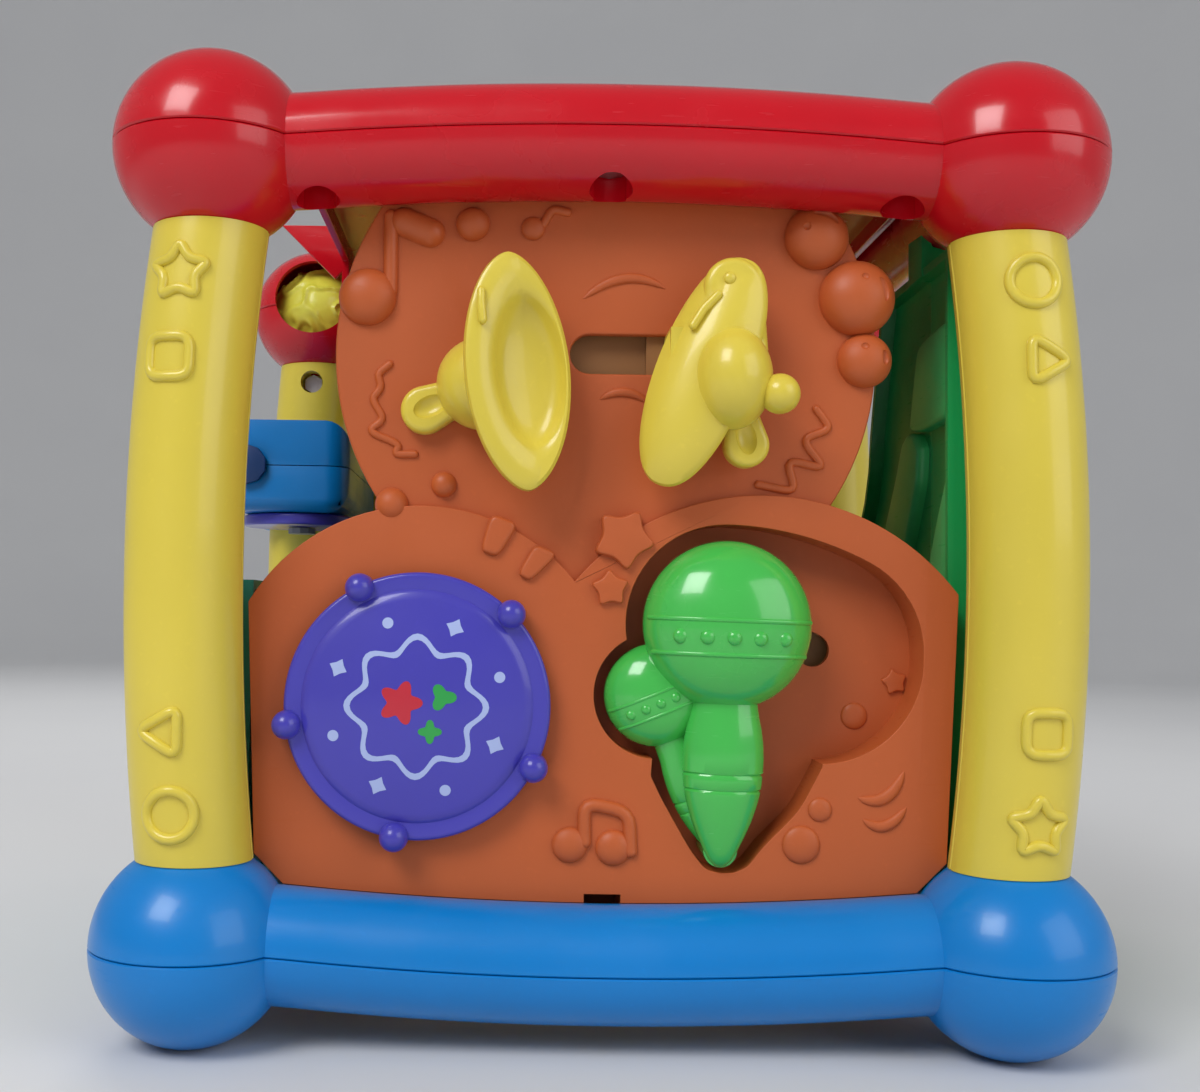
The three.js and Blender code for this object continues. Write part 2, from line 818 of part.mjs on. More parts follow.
function slab(z0, z1) {
  return block(-ballPitch, ballPitch, -ballPitch, topHeight + ballPitch, z0, z1);
}

// A slot or bay that a round thing sweeps as it turns about the pivot
function sweptBean(reach, radius, fromLean, toLean, z0, z1) {
  const point = (r, lean) => [
    pivotX + r * Math.sin(lean * degrees), pivotHeight + r * Math.cos(lean * degrees),
  ];
  const points = [];
  const steps = beanSteps;
  const capSteps = beanSteps;
  for (let i = 0; i <= steps; i += 1) points.push(point(
    reach + radius, fromLean + ((toLean - fromLean) * i) / steps,
  ));
  const cap = (lean, start) => {
    const [cx, cy] = point(reach, lean);
    for (let i = 1; i < capSteps; i += 1) {
      const angle = (start - lean) * degrees - (Math.PI * i) / capSteps;
      points.push([cx + radius * Math.cos(angle), cy + radius * Math.sin(angle)]);
    }
  };
  cap(toLean, quarterTurn);
  for (let i = 0; i <= steps; i += 1) points.push(point(
    reach - radius, toLean + ((fromLean - toLean) * i) / steps,
  ));
  cap(fromLean, 3 * quarterTurn);
  return prism(polygon(points), z0, z1);
}

// Half widths of the room beside the handles, as shares of the big maraca's reach
const bayRightShares = [[0.541, 0.235], [0.318, 0.234], [0.105, 0.166]];
const bayLeftShares = [[0.051, 0.123], [0.3, 0.154], [0.416, 0.16]];

function besideHandle(lean, along, across) {
  const [sin, cos] = [Math.sin(lean * degrees), Math.cos(lean * degrees)];
  return [pivotX + along * sin + across * cos, pivotHeight + along * cos - across * sin];
}

function bayForm(grow, z0, z1) {
  const end = maracaLean + maracaSwing;
  const smallEnd = smallLean + maracaSwing;
  const big = sweptBean(maracaReach, maracaHeadRadius + bayMargin + grow, maracaLean, end, z0, z1);
  const small = sweptBean(smallReach, smallHeadRadius + smallMargin + grow, smallLean, smallEnd, z0, z1);
  const handles = polygon([
    ...bayLeftShares.map(([along, across]) => besideHandle(
      smallLean, along * maracaReach, -across * maracaReach - grow,
    )),
    besideHandle(smallLean, smallReach, 0),
    besideHandle(maracaLean, maracaReach, 0),
    besideHandle(end, maracaReach, 0),
    ...bayRightShares.map(([along, across]) => besideHandle(
      end, along * maracaReach, across * maracaReach + grow,
    )),
  ]);
  const foot = disc(pivotX, pivotHeight, bayTipRadius + grow, z0, z1, bigSides / 2);
  const [endX, endHeight] = besideHandle(end, bayEndReach, 0);
  const last = disc(endX, endHeight, bayEndRadius + grow, z0, z1, bigSides);
  return union(big, small, prism(handles, z0, z1), foot, last);
}

function guideSlot(z0, z1) {
  return sweptBean(maracaReach, guideSlotHalf, maracaLean, maracaLean + maracaSwing, z0, z1);
}

const coverBosses = [
  [-panelFootHalfWidth, panelBottom, 1, 1], [panelFootHalfWidth, panelBottom, -1, 1],
].map(([x, y, sx, sy]) => [x + sx * bossInset, y + sy * 2 * bossInset])
  .concat([
    -1, 1,
  ].map((s) => [s * discRadius * discBossShare, discHeight + discRadius * discBossRiseShare]));

function frontPanel() {
  const outside = union(
    lobeOutline(0).intersect(slab(housingBack, lobeFace)),
    discOutline(0).intersect(slab(housingBack, discFace)),
  );
  const inside = union(
    lobeOutline(wall).intersect(slab(housingBack - overrun, lobeFace - wall)),
    discOutline(wall).intersect(slab(housingBack - overrun, discFace - wall)),
  );
  const drumHole = disc(
    drumX, drumHeight, drumSkirtRadius + gap, housingBack, lobeFace + overrun, bigSides,
  );
  const slot = block(
    slotLeftX, slotLeftX + slotLength, slotCentre - slotHeight / 2, slotCentre + slotHeight / 2,
    housingBack, lobeFace,
  );
  const pegHole = disc(leftCymbalX, cymbalHeight, cymbalPegRadius + gap, housingBack, lobeFace);
  const tub = bayForm(wall, bayFloor - wall, lobeFace - wall / 2);
  const bay = bayForm(0, bayFloor, lobeFace + overrun);
  const pinHole = disc(pivotX, pivotHeight, pivotPinRadius + gap, housingBack, bayFloor + overrun);
  const bosses = coverBosses.map(([x, y]) => disc(
    x, y, coverBossRadius, housingBack + gap, lobeFace - wall / 2,
  ));
  const pilots = coverBosses.map(([x, y]) => disc(
    x, y, coverScrewRadius, housingBack - overrun, housingBack + housingDepth / 2, smallSides,
  ));
  const notch = block(
    latchNotchX - latchNotchWidth / 2, latchNotchX + latchNotchWidth / 2, 0, panelBottom + latchNotchDepth,
    housingBack + wall, lobeFace + overrun,
  );
  const hull = cut(outside, inside);
  const shell = union(hull, union(tub, bosses).intersect(outside));
  const guide = guideSlot(bayFloor - wall - overrun, bayFloor + overrun);
  const open = cut(shell, bay, guide, drumHole, slot, pegHole, pinHole, pilots, notch, panelBars);
  return union(open, tongues(half - tongueSet, true));
}

piece('front_panel', frontPanel(), finishes.orange, frontSide);

// Drum: one sprung button with a domed head, a rim with lugs, a skirt, hooks and a stem
const drumRimBack = drumFace - drumRimThickness;
const drumUnderside = drumFace + drumDomeRise - wall;
const coverFace = housingBack - gap;
const coverBack = coverFace - coverThickness;

function polar(x, y, radius, angle) {
  return [x + radius * Math.cos(angle), y + radius * Math.sin(angle)];
}

function drumHead() {
  const dome = [];
  for (let i = 0; i <= domeRings; i += 1) {
    const share = i / domeRings;
    dome.push([drumDomeRadius * share, drumFace + drumDomeRise * (1 - share ** 2)]);
  }
  const skirtEnd = drumRimBack - drumSkirtLength;
  const profile = [
    ...dome,
    [drumRimRadius, drumFace],
    [drumRimRadius, drumRimBack],
    [drumSkirtRadius, drumRimBack],
    [drumSkirtRadius, skirtEnd],
    [drumSkirtRadius - wall, skirtEnd],
    [drumSkirtRadius - wall, drumFace - wall],
    [drumStemRadius, drumUnderside],
    [drumStemRadius, drumStemEnd],
    [0, drumStemEnd],
  ];
  const head = solid(revolved(profile, drumSides).translate(drumX, drumHeight, 0));
  const lugs = [];
  for (let i = 0; i < drumLugCount; i += 1) {
    const [x, y] = polar(
      drumX, drumHeight, drumRimRadius, (drumLugStart + (fullTurn * i) / drumLugCount) * degrees,
    );
    lugs.push(ball(x, y, drumRimBack + drumLugRadius, drumLugRadius, 2 * ballRings, ballRings));
  }
  const hooks = [0, 1, 2].map((i) => {
    const top = lobeFace - wall - gap;
    const box = new THREE.BoxGeometry(wall + drumHookReach, drumHookWidth, drumHookHeight);
    box.translate(drumSkirtRadius + (drumHookReach - wall) / 2, 0, top - drumHookHeight / 2);
    return solid(box.rotateZ((2 * Math.PI * i) / 3).translate(drumX, drumHeight, 0));
  });
  return union(head, lugs, hooks);
}

function ringForm(x, y, outer, inner, from, to, sides = holeSides) {
  return cut(disc(x, y, outer, from, to, sides), disc(x, y, inner, from - overrun, to + overrun, sides));
}

const switchTop = coverFace + gap + switchHeight;
const switchBody = disc(drumX, drumHeight, switchRadius, coverFace + gap, switchTop);
const switchBore = disc(
  drumX, drumHeight, drumStemRadius + 2 * gap, switchTop - switchBoreDepth, switchTop + overrun,
);
const springInner = springOuterRadius - springThickness;
const drumSpring = ringForm(
  drumX, drumHeight, springOuterRadius, springInner, switchTop + gap, drumUnderside - 2 * gap,
);
piece('drum_head', drumHead(), finishes.purple, frontSide);
piece('drum_spring', drumSpring, finishes.steel, frontSide);
piece('drum_switch', cut(switchBody, switchBore), finishes.grey, frontSide);

// Cymbals: shallow dishes squeezed to ellipses, leaning and turned
function placeDish(geometry, halfWidth, lean, turn, x, y, z) {
  geometry.scale(halfWidth / cymbalRadius, 1, 1).rotateY(turn * degrees).rotateZ(lean * degrees);
  return solid(geometry.translate(x, y, z));
}

function dishForm(halfWidth, lean, turn, x, y, z, hollowFront) {
  const front = [];
  const back = [];
  const steps = domeRings;
  for (let i = 0; i <= steps; i += 1) {
    const share = i / steps;
    const rise = cymbalDepth * (1 - share ** 2);
    front.push([cymbalRadius * share, rise]);
    if (hollowFront) back.unshift([cymbalRadius * share, rise - cymbalPlate]);
  }
  if (!hollowFront) back.push([cymbalRadius, -cymbalPlate], [0, -cymbalPlate]);
  const dish = revolved([...front, ...back], dishSides);
  if (hollowFront) dish.rotateX(Math.PI);
  return placeDish(dish, halfWidth, lean, turn, x, y, z);
}

// The room in front of a dish's hollow, which nothing behind it reaches into
function dishRoom(halfWidth, lean, turn, x, y, z) {
  const profile = [];
  for (let i = 0; i <= domeRings; i += 1) {
    const share = i / domeRings;
    profile.push([cymbalRadius * share, cymbalDepth * (1 - share ** 2) - cymbalPlate]);
  }
  profile.push([cymbalRadius, -cymbalRadius], [0, -cymbalRadius]);
  return placeDish(revolved(profile, dishSides).rotateX(Math.PI), halfWidth, lean, turn, x, y, z);
}

const onDisc = discFace + gap;

function strapForm(x, y, radius, toX, toY, stand) {
  const from = onDisc + stand;
  const lobe = disc(x, y, radius, from, from + strapThickness);
  const length = Math.hypot(toX - x, toY - y);
  const link = new THREE.BoxGeometry(length, radius, strapThickness).translate(length / 2, 0, 0);
  link.rotateZ(Math.atan2(toY - y, toX - x)).translate(x, y, from + strapThickness / 2);
  return cut(
    union(lobe, solid(link)), disc(x, y, strapBore, from - overrun, from + strapThickness + overrun),
  );
}

function leftCymbal() {
  const place = [
    leftCymbalHalfWidth, leftCymbalLean, cymbalTurn, leftCymbalX, cymbalHeight, onDisc + leftCymbalStand,
  ];
  const dish = dishForm(...place, true);
  const boss = ball(leftBossX, leftBossHeight, onDisc + leftBossStand, leftBossRadius);
  const strap = strapForm(leftStrapX, leftStrapHeight, leftStrapRadius, leftBossX, leftBossHeight, 0);
  const stand = disc(
    leftCymbalX, cymbalHeight, pedestalRadius, onDisc, onDisc + leftCymbalStand - cymbalDepth / 2,
  );
  const carriers = cut(union(boss, strap, stand), dishRoom(...place));
  const form = union(dish, carriers).intersect(slab(onDisc, onDisc + ballPitch));
  const peg = disc(
    leftCymbalX, cymbalHeight, cymbalPegRadius, discFace - cymbalPegLength, onDisc + overrun,
  );
  return union(form, peg);
}

const neckBack = discFace - wall;
const studX = neckLeftX + neckWidth / 2;
const studTop = onDisc + rightCymbalStand / 2;

function rightCymbal() {
  const dish = dishForm(
    rightCymbalHalfWidth, rightCymbalLean, -cymbalTurn, rightCymbalX, cymbalHeight,
    onDisc + rightCymbalStand, false,
  );
  const boss = ball(rightBossX, rightBossHeight, onDisc + rightBossStand, rightBossRadius);
  const knob = ball(knobX, knobHeight, onDisc + knobStand, knobRadius);
  const strap = strapForm(
    rightStrapX, rightStrapHeight, rightStrapRadius, rightBossX, rightBossHeight, rightStrapStand,
  );
  const tall = slotHeight / 2 - gap;
  const neckTop = onDisc + rightCymbalStand + cymbalPlate;
  const neck = block(
    neckLeftX, neckLeftX + neckWidth, slotCentre - tall, slotCentre + tall, neckBack, neckTop,
  );
  const form = union(dish, boss, knob, strap).intersect(slab(onDisc + gap, onDisc + ballPitch));
  return cut(
    union(form, neck), disc(studX, slotCentre, sliderScrewRadius + gap, neckBack - overrun, studTop + gap),
  );
}

function cymbalSlider() {
  const o = sliderPlateOverlap;
  const tall = slotHeight / 2 + o;
  const top = neckBack - gap;
  const plate = block(
    neckLeftX - o, neckLeftX + neckWidth + o, slotCentre - tall, slotCentre + tall,
    top - sliderPlateThickness, top,
  );
  return union(plate, disc(studX, slotCentre, sliderScrewRadius, top - sliderPlateThickness, studTop));
}

piece('left_cymbal', leftCymbal(), finishes.yellow, frontSide);
piece('right_cymbal', rightCymbal(), finishes.yellow, frontSide);
piece('cymbal_slider', cymbalSlider(), finishes.grey, frontSide);

// Maracas: two turned forms about their own axes, flattened and joined at the pivot
function maracaForm(reach, headRadius, lean, depth, bodyShare) {
  const points = [[0, -maracaTip]];
  const widths = [
    [handleTipRadius, 0],
    [handleBellyRadius, handleBellyReach],
    [handleNeckRadius, (maracaReach - maracaHeadRadius) * neckPlaceShare],
  ];
  widths.forEach(([radius, place]) => points.push([radius * bodyShare, (place * reach) / maracaReach]));
  const start = Math.acos((handleNeckRadius * bodyShare) / headRadius) + Math.PI / 2;
  const steps = knobRings;
  for (let i = 0; i <= steps; i += 1) {
    const angle = Math.PI - start + ((start - Math.PI / 2) + Math.PI / 2) * (i / steps) - Math.PI / 2;
    points.push([Math.max(0, headRadius * Math.cos(angle)), reach + headRadius * Math.sin(angle)]);
  }
  points[points.length - 1][0] = 0;
  const form = new THREE.LatheGeometry(points.map(([x, y]) => new THREE.Vector2(x, y)), ballSides);
  form.scale(1, 1, maracaFlatShare).rotateZ(-lean * degrees).translate(pivotX, pivotHeight, depth);
  return solid(form);
}

const guideX = pivotX + maracaReach * Math.sin(maracaLean * degrees);
const guideHeight = pivotHeight + maracaReach * Math.cos(maracaLean * degrees);
const behindFloor = bayFloor - wall;
const pinTop = maracaDepth - smallRecess / 2;

function maracas() {
  const big = maracaForm(maracaReach, maracaHeadRadius, maracaLean, maracaDepth, 1);
  const small = maracaForm(
    smallReach, smallHeadRadius, smallLean, maracaDepth - smallRecess, smallHeadRadius / maracaHeadRadius,
  );
  const hub = disc(pivotX, pivotHeight, hubRadius, bayFloor + gap, maracaDepth);
  const boss = disc(guideX, guideHeight, guideBossRadius, behindFloor - gap, maracaDepth);
  const neck = disc(
    guideX, guideHeight, guideNeckRadius, behindFloor - 3 * gap - clipThickness, maracaDepth, smallSides,
  );
  const bore = disc(pivotX, pivotHeight, pivotPinRadius + gap, bayFloor - overrun, pinTop + gap);
  return cut(union(big, small, hub, boss, neck), bore);
}

const pinHead = disc(
  pivotX, pivotHeight, pivotPinHeadRadius, behindFloor - gap - pivotPinHeadHeight, behindFloor - gap,
);
const pinShank = disc(pivotX, pivotHeight, pivotPinRadius, behindFloor - gap - pivotPinHeadHeight, pinTop);
const clipBack = behindFloor - 2 * gap - clipThickness;
const guideClip = ringForm(
  guideX, guideHeight, clipRadius, guideNeckRadius + gap, clipBack, clipBack + clipThickness,
);
piece('maracas', maracas(), finishes.green, frontSide);
piece('maraca_guide_clip', guideClip, finishes.grey, frontSide);
piece('maraca_pivot_pin', union(pinHead, pinShank), finishes.grey, frontSide);

// Rear cover with its board standoffs, speaker ring and battery box
const batteryZ = coverBack + doorPlug + gap + batteryRadius;
const boxHalfX = batteryLength / 2 + batteryNubLength + 2 * gap;
const boxHalfY = batteryPitch / 2 + batteryRadius + gap;
const boxFront = batteryZ + batteryRadius + gap;
const boxLow = batteryCentreHeight - boxHalfY;
const boxHigh = batteryCentreHeight + boxHalfY;
const earLow = boxLow - doorMargin - doorEarLength;
const doorScrewHeight = earLow + doorEarLength / 2;
const boardPins = [-1, 1].map((s) => [
  boardX + s * (boardWidth / 2 - standoffInset), boardCentreHeight + s * (boardHeight / 2 - standoffInset),
]);

function rearCover() {
  const outline = union(lobeOutline(0), discOutline(0));
  const plate = outline.intersect(slab(coverBack, coverFace));
  const w = batteryWall;
  const box = block(-boxHalfX - w, boxHalfX + w, boxLow - w, boxHigh + w, coverBack, boxFront + w);
  const room = block(-boxHalfX, boxHalfX, boxLow, boxHigh, coverBack - overrun, boxFront);
  const posts = boardPins.flatMap(([x, y]) => [
    disc(x, y, standoffRadius, coverFace - wall / 2, coverFace + boardStandoff, smallSides),
    disc(x, y, standoffPinRadius, coverFace, coverFace + boardStandoff + boardThickness + gap, smallSides),
  ]);
  const ring = ringForm(
    speakerX, speakerHeight, speakerRadius + gap + speakerRing, speakerRadius + gap, coverFace - wall / 2,
    coverFace + speakerDepth / 2, bigSides / 2,
  );
  const holes = [];
  for (let i = 0; i < speakerHoleCount; i += 1) {
    const [x, y] = polar(speakerX, speakerHeight, speakerHoleReach, (2 * Math.PI * i) / speakerHoleCount);
    holes.push(disc(x, y, speakerHoleRadius, coverBack - overrun, coverFace + overrun, smallSides));
  }
  const heads = coverBosses.map(([x, y]) => disc(
    x, y, coverScrewHeadRadius, coverBack - screwHeadHeight / 2, coverFace, smallSides,
  ));
  const shanks = coverBosses.map(([x, y]) => disc(
    x, y, coverScrewRadius - gap, coverFace - wall / 2, coverFace + screwLength / 2, smallSides,
  ));
  const doorHole = disc(
    0, doorScrewHeight, screwShankRadius + gap, coverBack - overrun, coverFace + overrun, smallSides,
  );
  return cut(union(plate, box, posts, ring, heads, shanks), room, holes, doorHole);
}

const boardBack = coverFace + boardStandoff + gap;
const boardHalfX = boardWidth / 2;
const boardHalfY = boardHeight / 2;
const soundBoard = cut(
  block(
    boardX - boardHalfX, boardX + boardHalfX, boardCentreHeight - boardHalfY,
    boardCentreHeight + boardHalfY, boardBack, boardBack + boardThickness,
  ),
  boardPins.map(([x, y]) => disc(
    x, y, standoffPinRadius + gap, boardBack - overrun, boardBack + wall, smallSides,
  )),
);
piece('front_rear_cover', rearCover(), finishes.grey, frontSide);
piece('sound_board', soundBoard, finishes.board, frontSide);
piece(
  'speaker',
  disc(
    speakerX, speakerHeight, speakerRadius, coverFace + gap, coverFace + gap + speakerDepth, bigSides / 2,
  ),
  finishes.cell, frontSide,
);

for (const side of [-1, 1]) {
  const profile = [
    [0, -batteryLength / 2],
    [batteryRadius, -batteryLength / 2],
    [batteryRadius, batteryLength / 2],
    [batteryNubRadius, batteryLength / 2],
    [batteryNubRadius, batteryLength / 2 + batteryNubLength],
    [0, batteryLength / 2 + batteryNubLength],
  ];
  const cell = revolved(profile, holeSides).rotateY((side * Math.PI) / 2);
  cell.translate(0, batteryCentreHeight + (side * batteryPitch) / 2, batteryZ);
  piece(side < 0 ? 'battery_1' : 'battery_2', solid(cell), finishes.cell, frontSide);
}

const doorFront = coverBack - gap;
const doorPlate = block(
  -boxHalfX - doorMargin, boxHalfX + doorMargin, boxLow - doorMargin, boxHigh + doorMargin,
  doorFront - doorThickness, doorFront,
);
const doorPlugForm = block(
  -boxHalfX + gap, boxHalfX - gap, boxLow + gap, boxHigh - gap, doorFront - doorThickness,
  coverBack + doorPlug - gap,
);
const doorEar = block(
  -doorEarWidth / 2, doorEarWidth / 2, earLow, boxLow, doorFront - doorThickness, doorFront,
);
const doorBore = disc(
  0, doorScrewHeight, screwShankRadius + gap, coverBack - ballRadius, coverFace, smallSides,
);
piece('battery_door', cut(union(doorPlate, doorPlugForm, doorEar), doorBore), finishes.grey, frontSide);
const doorScrew = solid(screwGeometry(screwLength / 2).rotateX(Math.PI).translate(
  0, doorScrewHeight, doorFront - doorThickness - gap,
));
piece('battery_door_screw', doorScrew, finishes.steel, frontSide);

// Side and back panels: a plate with a skirt behind it, seated on the bars by tongues
const sidePlateBack = sideFace - panelPlate;
const skirtBack = sideFace - sideSkirtDepth;

function traySolid(outer, inner, extras, topSeat) {
  const shell = cut(prism(outer, skirtBack, sideFace), prism(inner, skirtBack - overrun, sidePlateBack));
  const body = cut(union(shell, extras), panelBars);
  return union(body, tongues(half - tongueSet, topSeat));
}

function sheetOutline(inset, top) {
  const w = sideHalfWidth - inset;
  const low = baseHeight + inset;
  return polygon([[-w, low], [w, low], [w, top - inset], [-w, top - inset]]);
}

function ribs(xs, low, high) {
  return xs.map((x) => block(
    x - ribWidth / 2, x + ribWidth / 2, low, high, skirtBack + wall, sidePlateBack + gap,
  ));
}

function skirtTop(inset) {
  return seatTop - inset;
}

function backPanel() {
  const outer = sheetOutline(0, topHeight);
  const w = sideHalfWidth - wall;
  const low = baseHeight + barRadius + 2 * wall;
  const inner = polygon([[-w, low], [w, low], [w, skirtTop(wall)], [-w, skirtTop(wall)]]);
  return traySolid(outer, inner, ribs([-tongueX, 0, tongueX], low - wall, seatTop - wall), true);
}

function leftPanel() {
  const outer = sheetOutline(0, leftPanelTop);
  const w = sideHalfWidth - wall;
  const low = baseHeight + barRadius + 2 * wall;
  const inner = polygon([[-w, low], [w, low], [w, leftPanelTop - wall], [-w, leftPanelTop - wall]]);
  return traySolid(outer, inner, ribs([-tongueX, 0, tongueX], low - wall, leftPanelTop - wall), false);
}

// Leaf panel: its back edge sweeps up from the back post to a narrow top
function leafOutline(inset) {
  const w = sideHalfWidth - inset;
  const low = inset > 0 ? baseHeight + barRadius + 2 * wall : baseHeight;
  const shape = new THREE.Shape();
  shape.moveTo(-w, low);
  shape.lineTo(w, low);
  shape.lineTo(w, leafBackHeight - inset);
  shape.bezierCurveTo(
    leafMidY + w * leafReachShare, leafBackHeight - inset,
    leafMidY - inset, leafMidHeight - (leafMidHeight - leafBackHeight) / 2,
    leafMidY - inset, leafMidHeight,
  );
  shape.lineTo(leafShoulderY - inset, leafTop - inset);
  shape.lineTo(-w, leafTop - inset);
  return shape;
}

function rightPanel() {
  const low = baseHeight + barRadius + wall;
  const blade = polygon([
    [bladeFrontY, bladeLow], [bladeFrontY + bladeWidth, bladeLow],
    [bladeBackY + bladeWidth, bladeHigh], [bladeBackY, bladeHigh],
  ]);
  const rise = prism(blade, skirtBack + wall, sidePlateBack + gap);
  const trayY = -sideHalfWidth + trayInset;
  const tray = block(
    trayY, trayY + trayWidth, trayLow, trayLow + trayHeight, sidePlateBack - bladeRise, sidePlateBack + gap,
  );
  const outline = prism(leafOutline(0), skirtBack, sideFace, leafSteps);
  const inside = prism(leafOutline(wall), skirtBack - overrun, sidePlateBack, leafSteps);
  const stem = block(
    -tongueX - tongueWidth / 2, -tongueX + tongueWidth / 2, leafTop - wall, topHeight,
    half - tongueSet - tongueThickness / 2, sideFace,
  );
  const shell = union(cut(outline, inside), rise, tray, stem, ribs([-tongueX], low, leafTop - wall));
  const tips = tongues(half - tongueSet, true).filter((tip, i) => i !== 3);
  return union(cut(shell, panelBars), tips);
}

piece('back_panel', backPanel(), finishes.yellow, backSide);
piece('left_panel', leftPanel(), finishes.teal, leftSide);
piece('right_panel', rightPanel(), finishes.leaf, rightSide);

// Top panel: a domed plate whose tabs enter the bars, with the roller guard at its open left edge
function topTabs(clear) {
  const out = half - barRadius + tongueReach + clear;
  const w = tongueWidth / 2 + clear;
  const low = topHeight + barBow + seamGap + gap - clear;
  const high = low + tongueThickness + 2 * clear;
  const inner = topHalf - 3 * wall;
  return [-tongueX, tongueX].flatMap((at) => [
    block(at - w, at + w, -out, -inner, low, high),
    block(at - w, at + w, inner, out, low, high),
    block(inner, out, at - w, at + w, low, high),
  ]);
}

function topPanel() {
  const back = topPlateHeight - panelPlate;
  const plate = block(guardX - guardWall, topHalf, -topHalf, topHalf, back, topPlateHeight);
  const skirtLow = topHeight - wall;
  const outerRim = block(
    guardX - guardWall, topHalf - wall, wall - topHalf, topHalf - wall, skirtLow, topPlateHeight,
  );
  const innerRim = block(
    guardX, topHalf - 2 * wall, 2 * wall - topHalf, topHalf - 2 * wall, skirtLow - overrun, back,
  );
  const domeProfile = [[0, back]];
  domeProfile.push([topDomeRadius, back]);
  for (let i = domeRings; i >= 0; i -= 1) {
    const share = i / domeRings;
    domeProfile.push([topDomeRadius * share, topPlateHeight + topDomeRise * (1 - share ** 2)]);
  }
  const dome = solid(revolved(domeProfile, bigSides));
  const hollow = solid(revolved([
    [0, back - overrun], [
      topDomeRadius / 2, back - overrun,
    ], [topDomeRadius / 2, topPlateHeight], [0, topPlateHeight],
  ], bigSides / 2));
  const inner = block(guardX - guardWall, guardX, bracketFrontY, guardBackY, guardBottom, guardTop);
  const tip = topHeight - gussetDrop;
  const sheet = polygon([
    [guardOutX, guardTop], [guardX - gussetCorner, tip], [guardX, tip + gussetCorner], [guardX, guardTop],
  ]);
  const upright = new THREE.ExtrudeGeometry(sheet, { depth: guardWall, bevelEnabled: false });
  const gusset = solid(upright.rotateX(Math.PI / 2).translate(0, bracketFrontY + guardWall, 0));
  const rods = topSides.map((side) => barRod(side, topHeight, 1, barRadius + gap));
  const balls = corners.map(([sx, sy]) => ball(
    sx * half, sy * half, topHeight, ballRadius + 2 * gap, ballSides, 2 * ballRings,
  ));
  const shell = union(plate, cut(outerRim, innerRim), dome, inner, gusset);
  return union(cut(shell, hollow, rods, balls), topTabs(0));
}

piece('top_panel', topPanel(), finishes.red);

// Bracket: two half shells that close round the back left post and carry the spinner
const bowAtBracket = (height) => (postBow * (1 - ((height - middleHeight) / postHalfSpan) ** 2)) / Math.SQRT2;
const bracketSeam = (bracketBottom + bracketTop) / 2;
const clampX = -half - bowAtBracket(bracketSeam);
const clampY = half + bowAtBracket(bracketSeam);
const clampOut = postRadius + gap + clampWall;

function roundedBar(x0, x1, y0, y1, z0, z1, round) {
  const shape = new THREE.Shape();
  shape.moveTo(x0 + round, z0);
  shape.lineTo(x1 - round, z0);
  shape.absarc(x1 - round, z0 + round, round, -Math.PI / 2, 0);
  shape.absarc(x1 - round, z1 - round, round, 0, Math.PI / 2);
  shape.absarc(x0 + round, z1 - round, round, Math.PI / 2, Math.PI);
  shape.absarc(x0 + round, z0 + round, round, Math.PI, (3 * Math.PI) / 2);
  const geometry = new THREE.ExtrudeGeometry(
    shape, { depth: y1 - y0, bevelEnabled: false, curveSegments: 3 },
  );
  return solid(geometry.rotateX(Math.PI / 2).translate(0, y1, 0));
}

function bracketHalf(upper) {
  const arm = roundedBar(
    bracketOutX, bracketInX, bracketFrontY, skirtBack - bracketBackGap, bracketBottom, bracketTop,
    bracketRound,
  );
  const w = wall;
  const room = block(
    bracketOutX + w, bracketInX - w, bracketFrontY + w, clampY - clampOut - w, bracketBottom + w,
    bracketTop - w,
  );
  const clamp = block(
    clampX - clampOut, clampX + clampOut, clampY - clampOut, clampY + clampOut, bracketBottom, bracketTop,
  );
  const boss = disc(spinnerX, spinnerY, axleHeadRadius, bracketBottom, bracketSeam, boltSides);
  const boreTop = bracketBottom + axleDepth + gap;
  const tools = [
    postRod(-1, 1, postRadius + gap),
    disc(spinnerX, spinnerY, axleRadius + gap, bracketBottom - overrun, boreTop, boltSides),
    solid(new THREE.CylinderGeometry(
      capPegRadius + gap, capPegRadius + gap, 2 * capPegLength, boltSides,
    ).translate(capX, bracketFrontY, bracketSeam)),
  ];
  const [z0, z1] = upper ? [bracketSeam + seamGap / 2, bracketTop + overrun] : [
    bracketBottom - overrun, bracketSeam - seamGap / 2,
  ];
  const side = block(-ballPitch, 0, -overrun, ballPitch, z0, z1);
  return cut(union(cut(arm, room), clamp, boss), tools).intersect(side);
}

const cap = new THREE.CylinderGeometry(capRadius, capRadius, capThickness, holeSides).translate(
  capX, bracketFrontY - gap - capThickness / 2, bracketSeam,
);
const capPeg = new THREE.CylinderGeometry(capPegRadius, capPegRadius, capPegLength, boltSides).translate(
  capX, bracketFrontY - gap - overrun / 2 + capPegLength / 2, bracketSeam,
);
piece('left_bracket_upper', bracketHalf(true), finishes.blue);
piece('left_bracket_lower', bracketHalf(false), finishes.blue);
piece('left_bracket_cap', union(solid(cap), solid(capPeg)), finishes.navy);

const spinnerTop = bracketBottom - gap;
const spinnerLow = spinnerTop - spinnerThickness;
piece(
  'left_spinner',
  ringForm(spinnerX, spinnerY, spinnerRadius, axleRadius + gap, spinnerLow, spinnerTop, ballSides * 2),
  finishes.purple,
);
const axleHead = disc(
  spinnerX, spinnerY, axleHeadRadius, spinnerLow - gap - axleHeadHeight, spinnerLow - gap,
);
const axleShank = disc(
  spinnerX, spinnerY, axleRadius, spinnerLow - gap - axleHeadHeight, bracketBottom + axleDepth, boltSides,
);
piece('left_spinner_axle', union(axleHead, axleShank), finishes.grey);

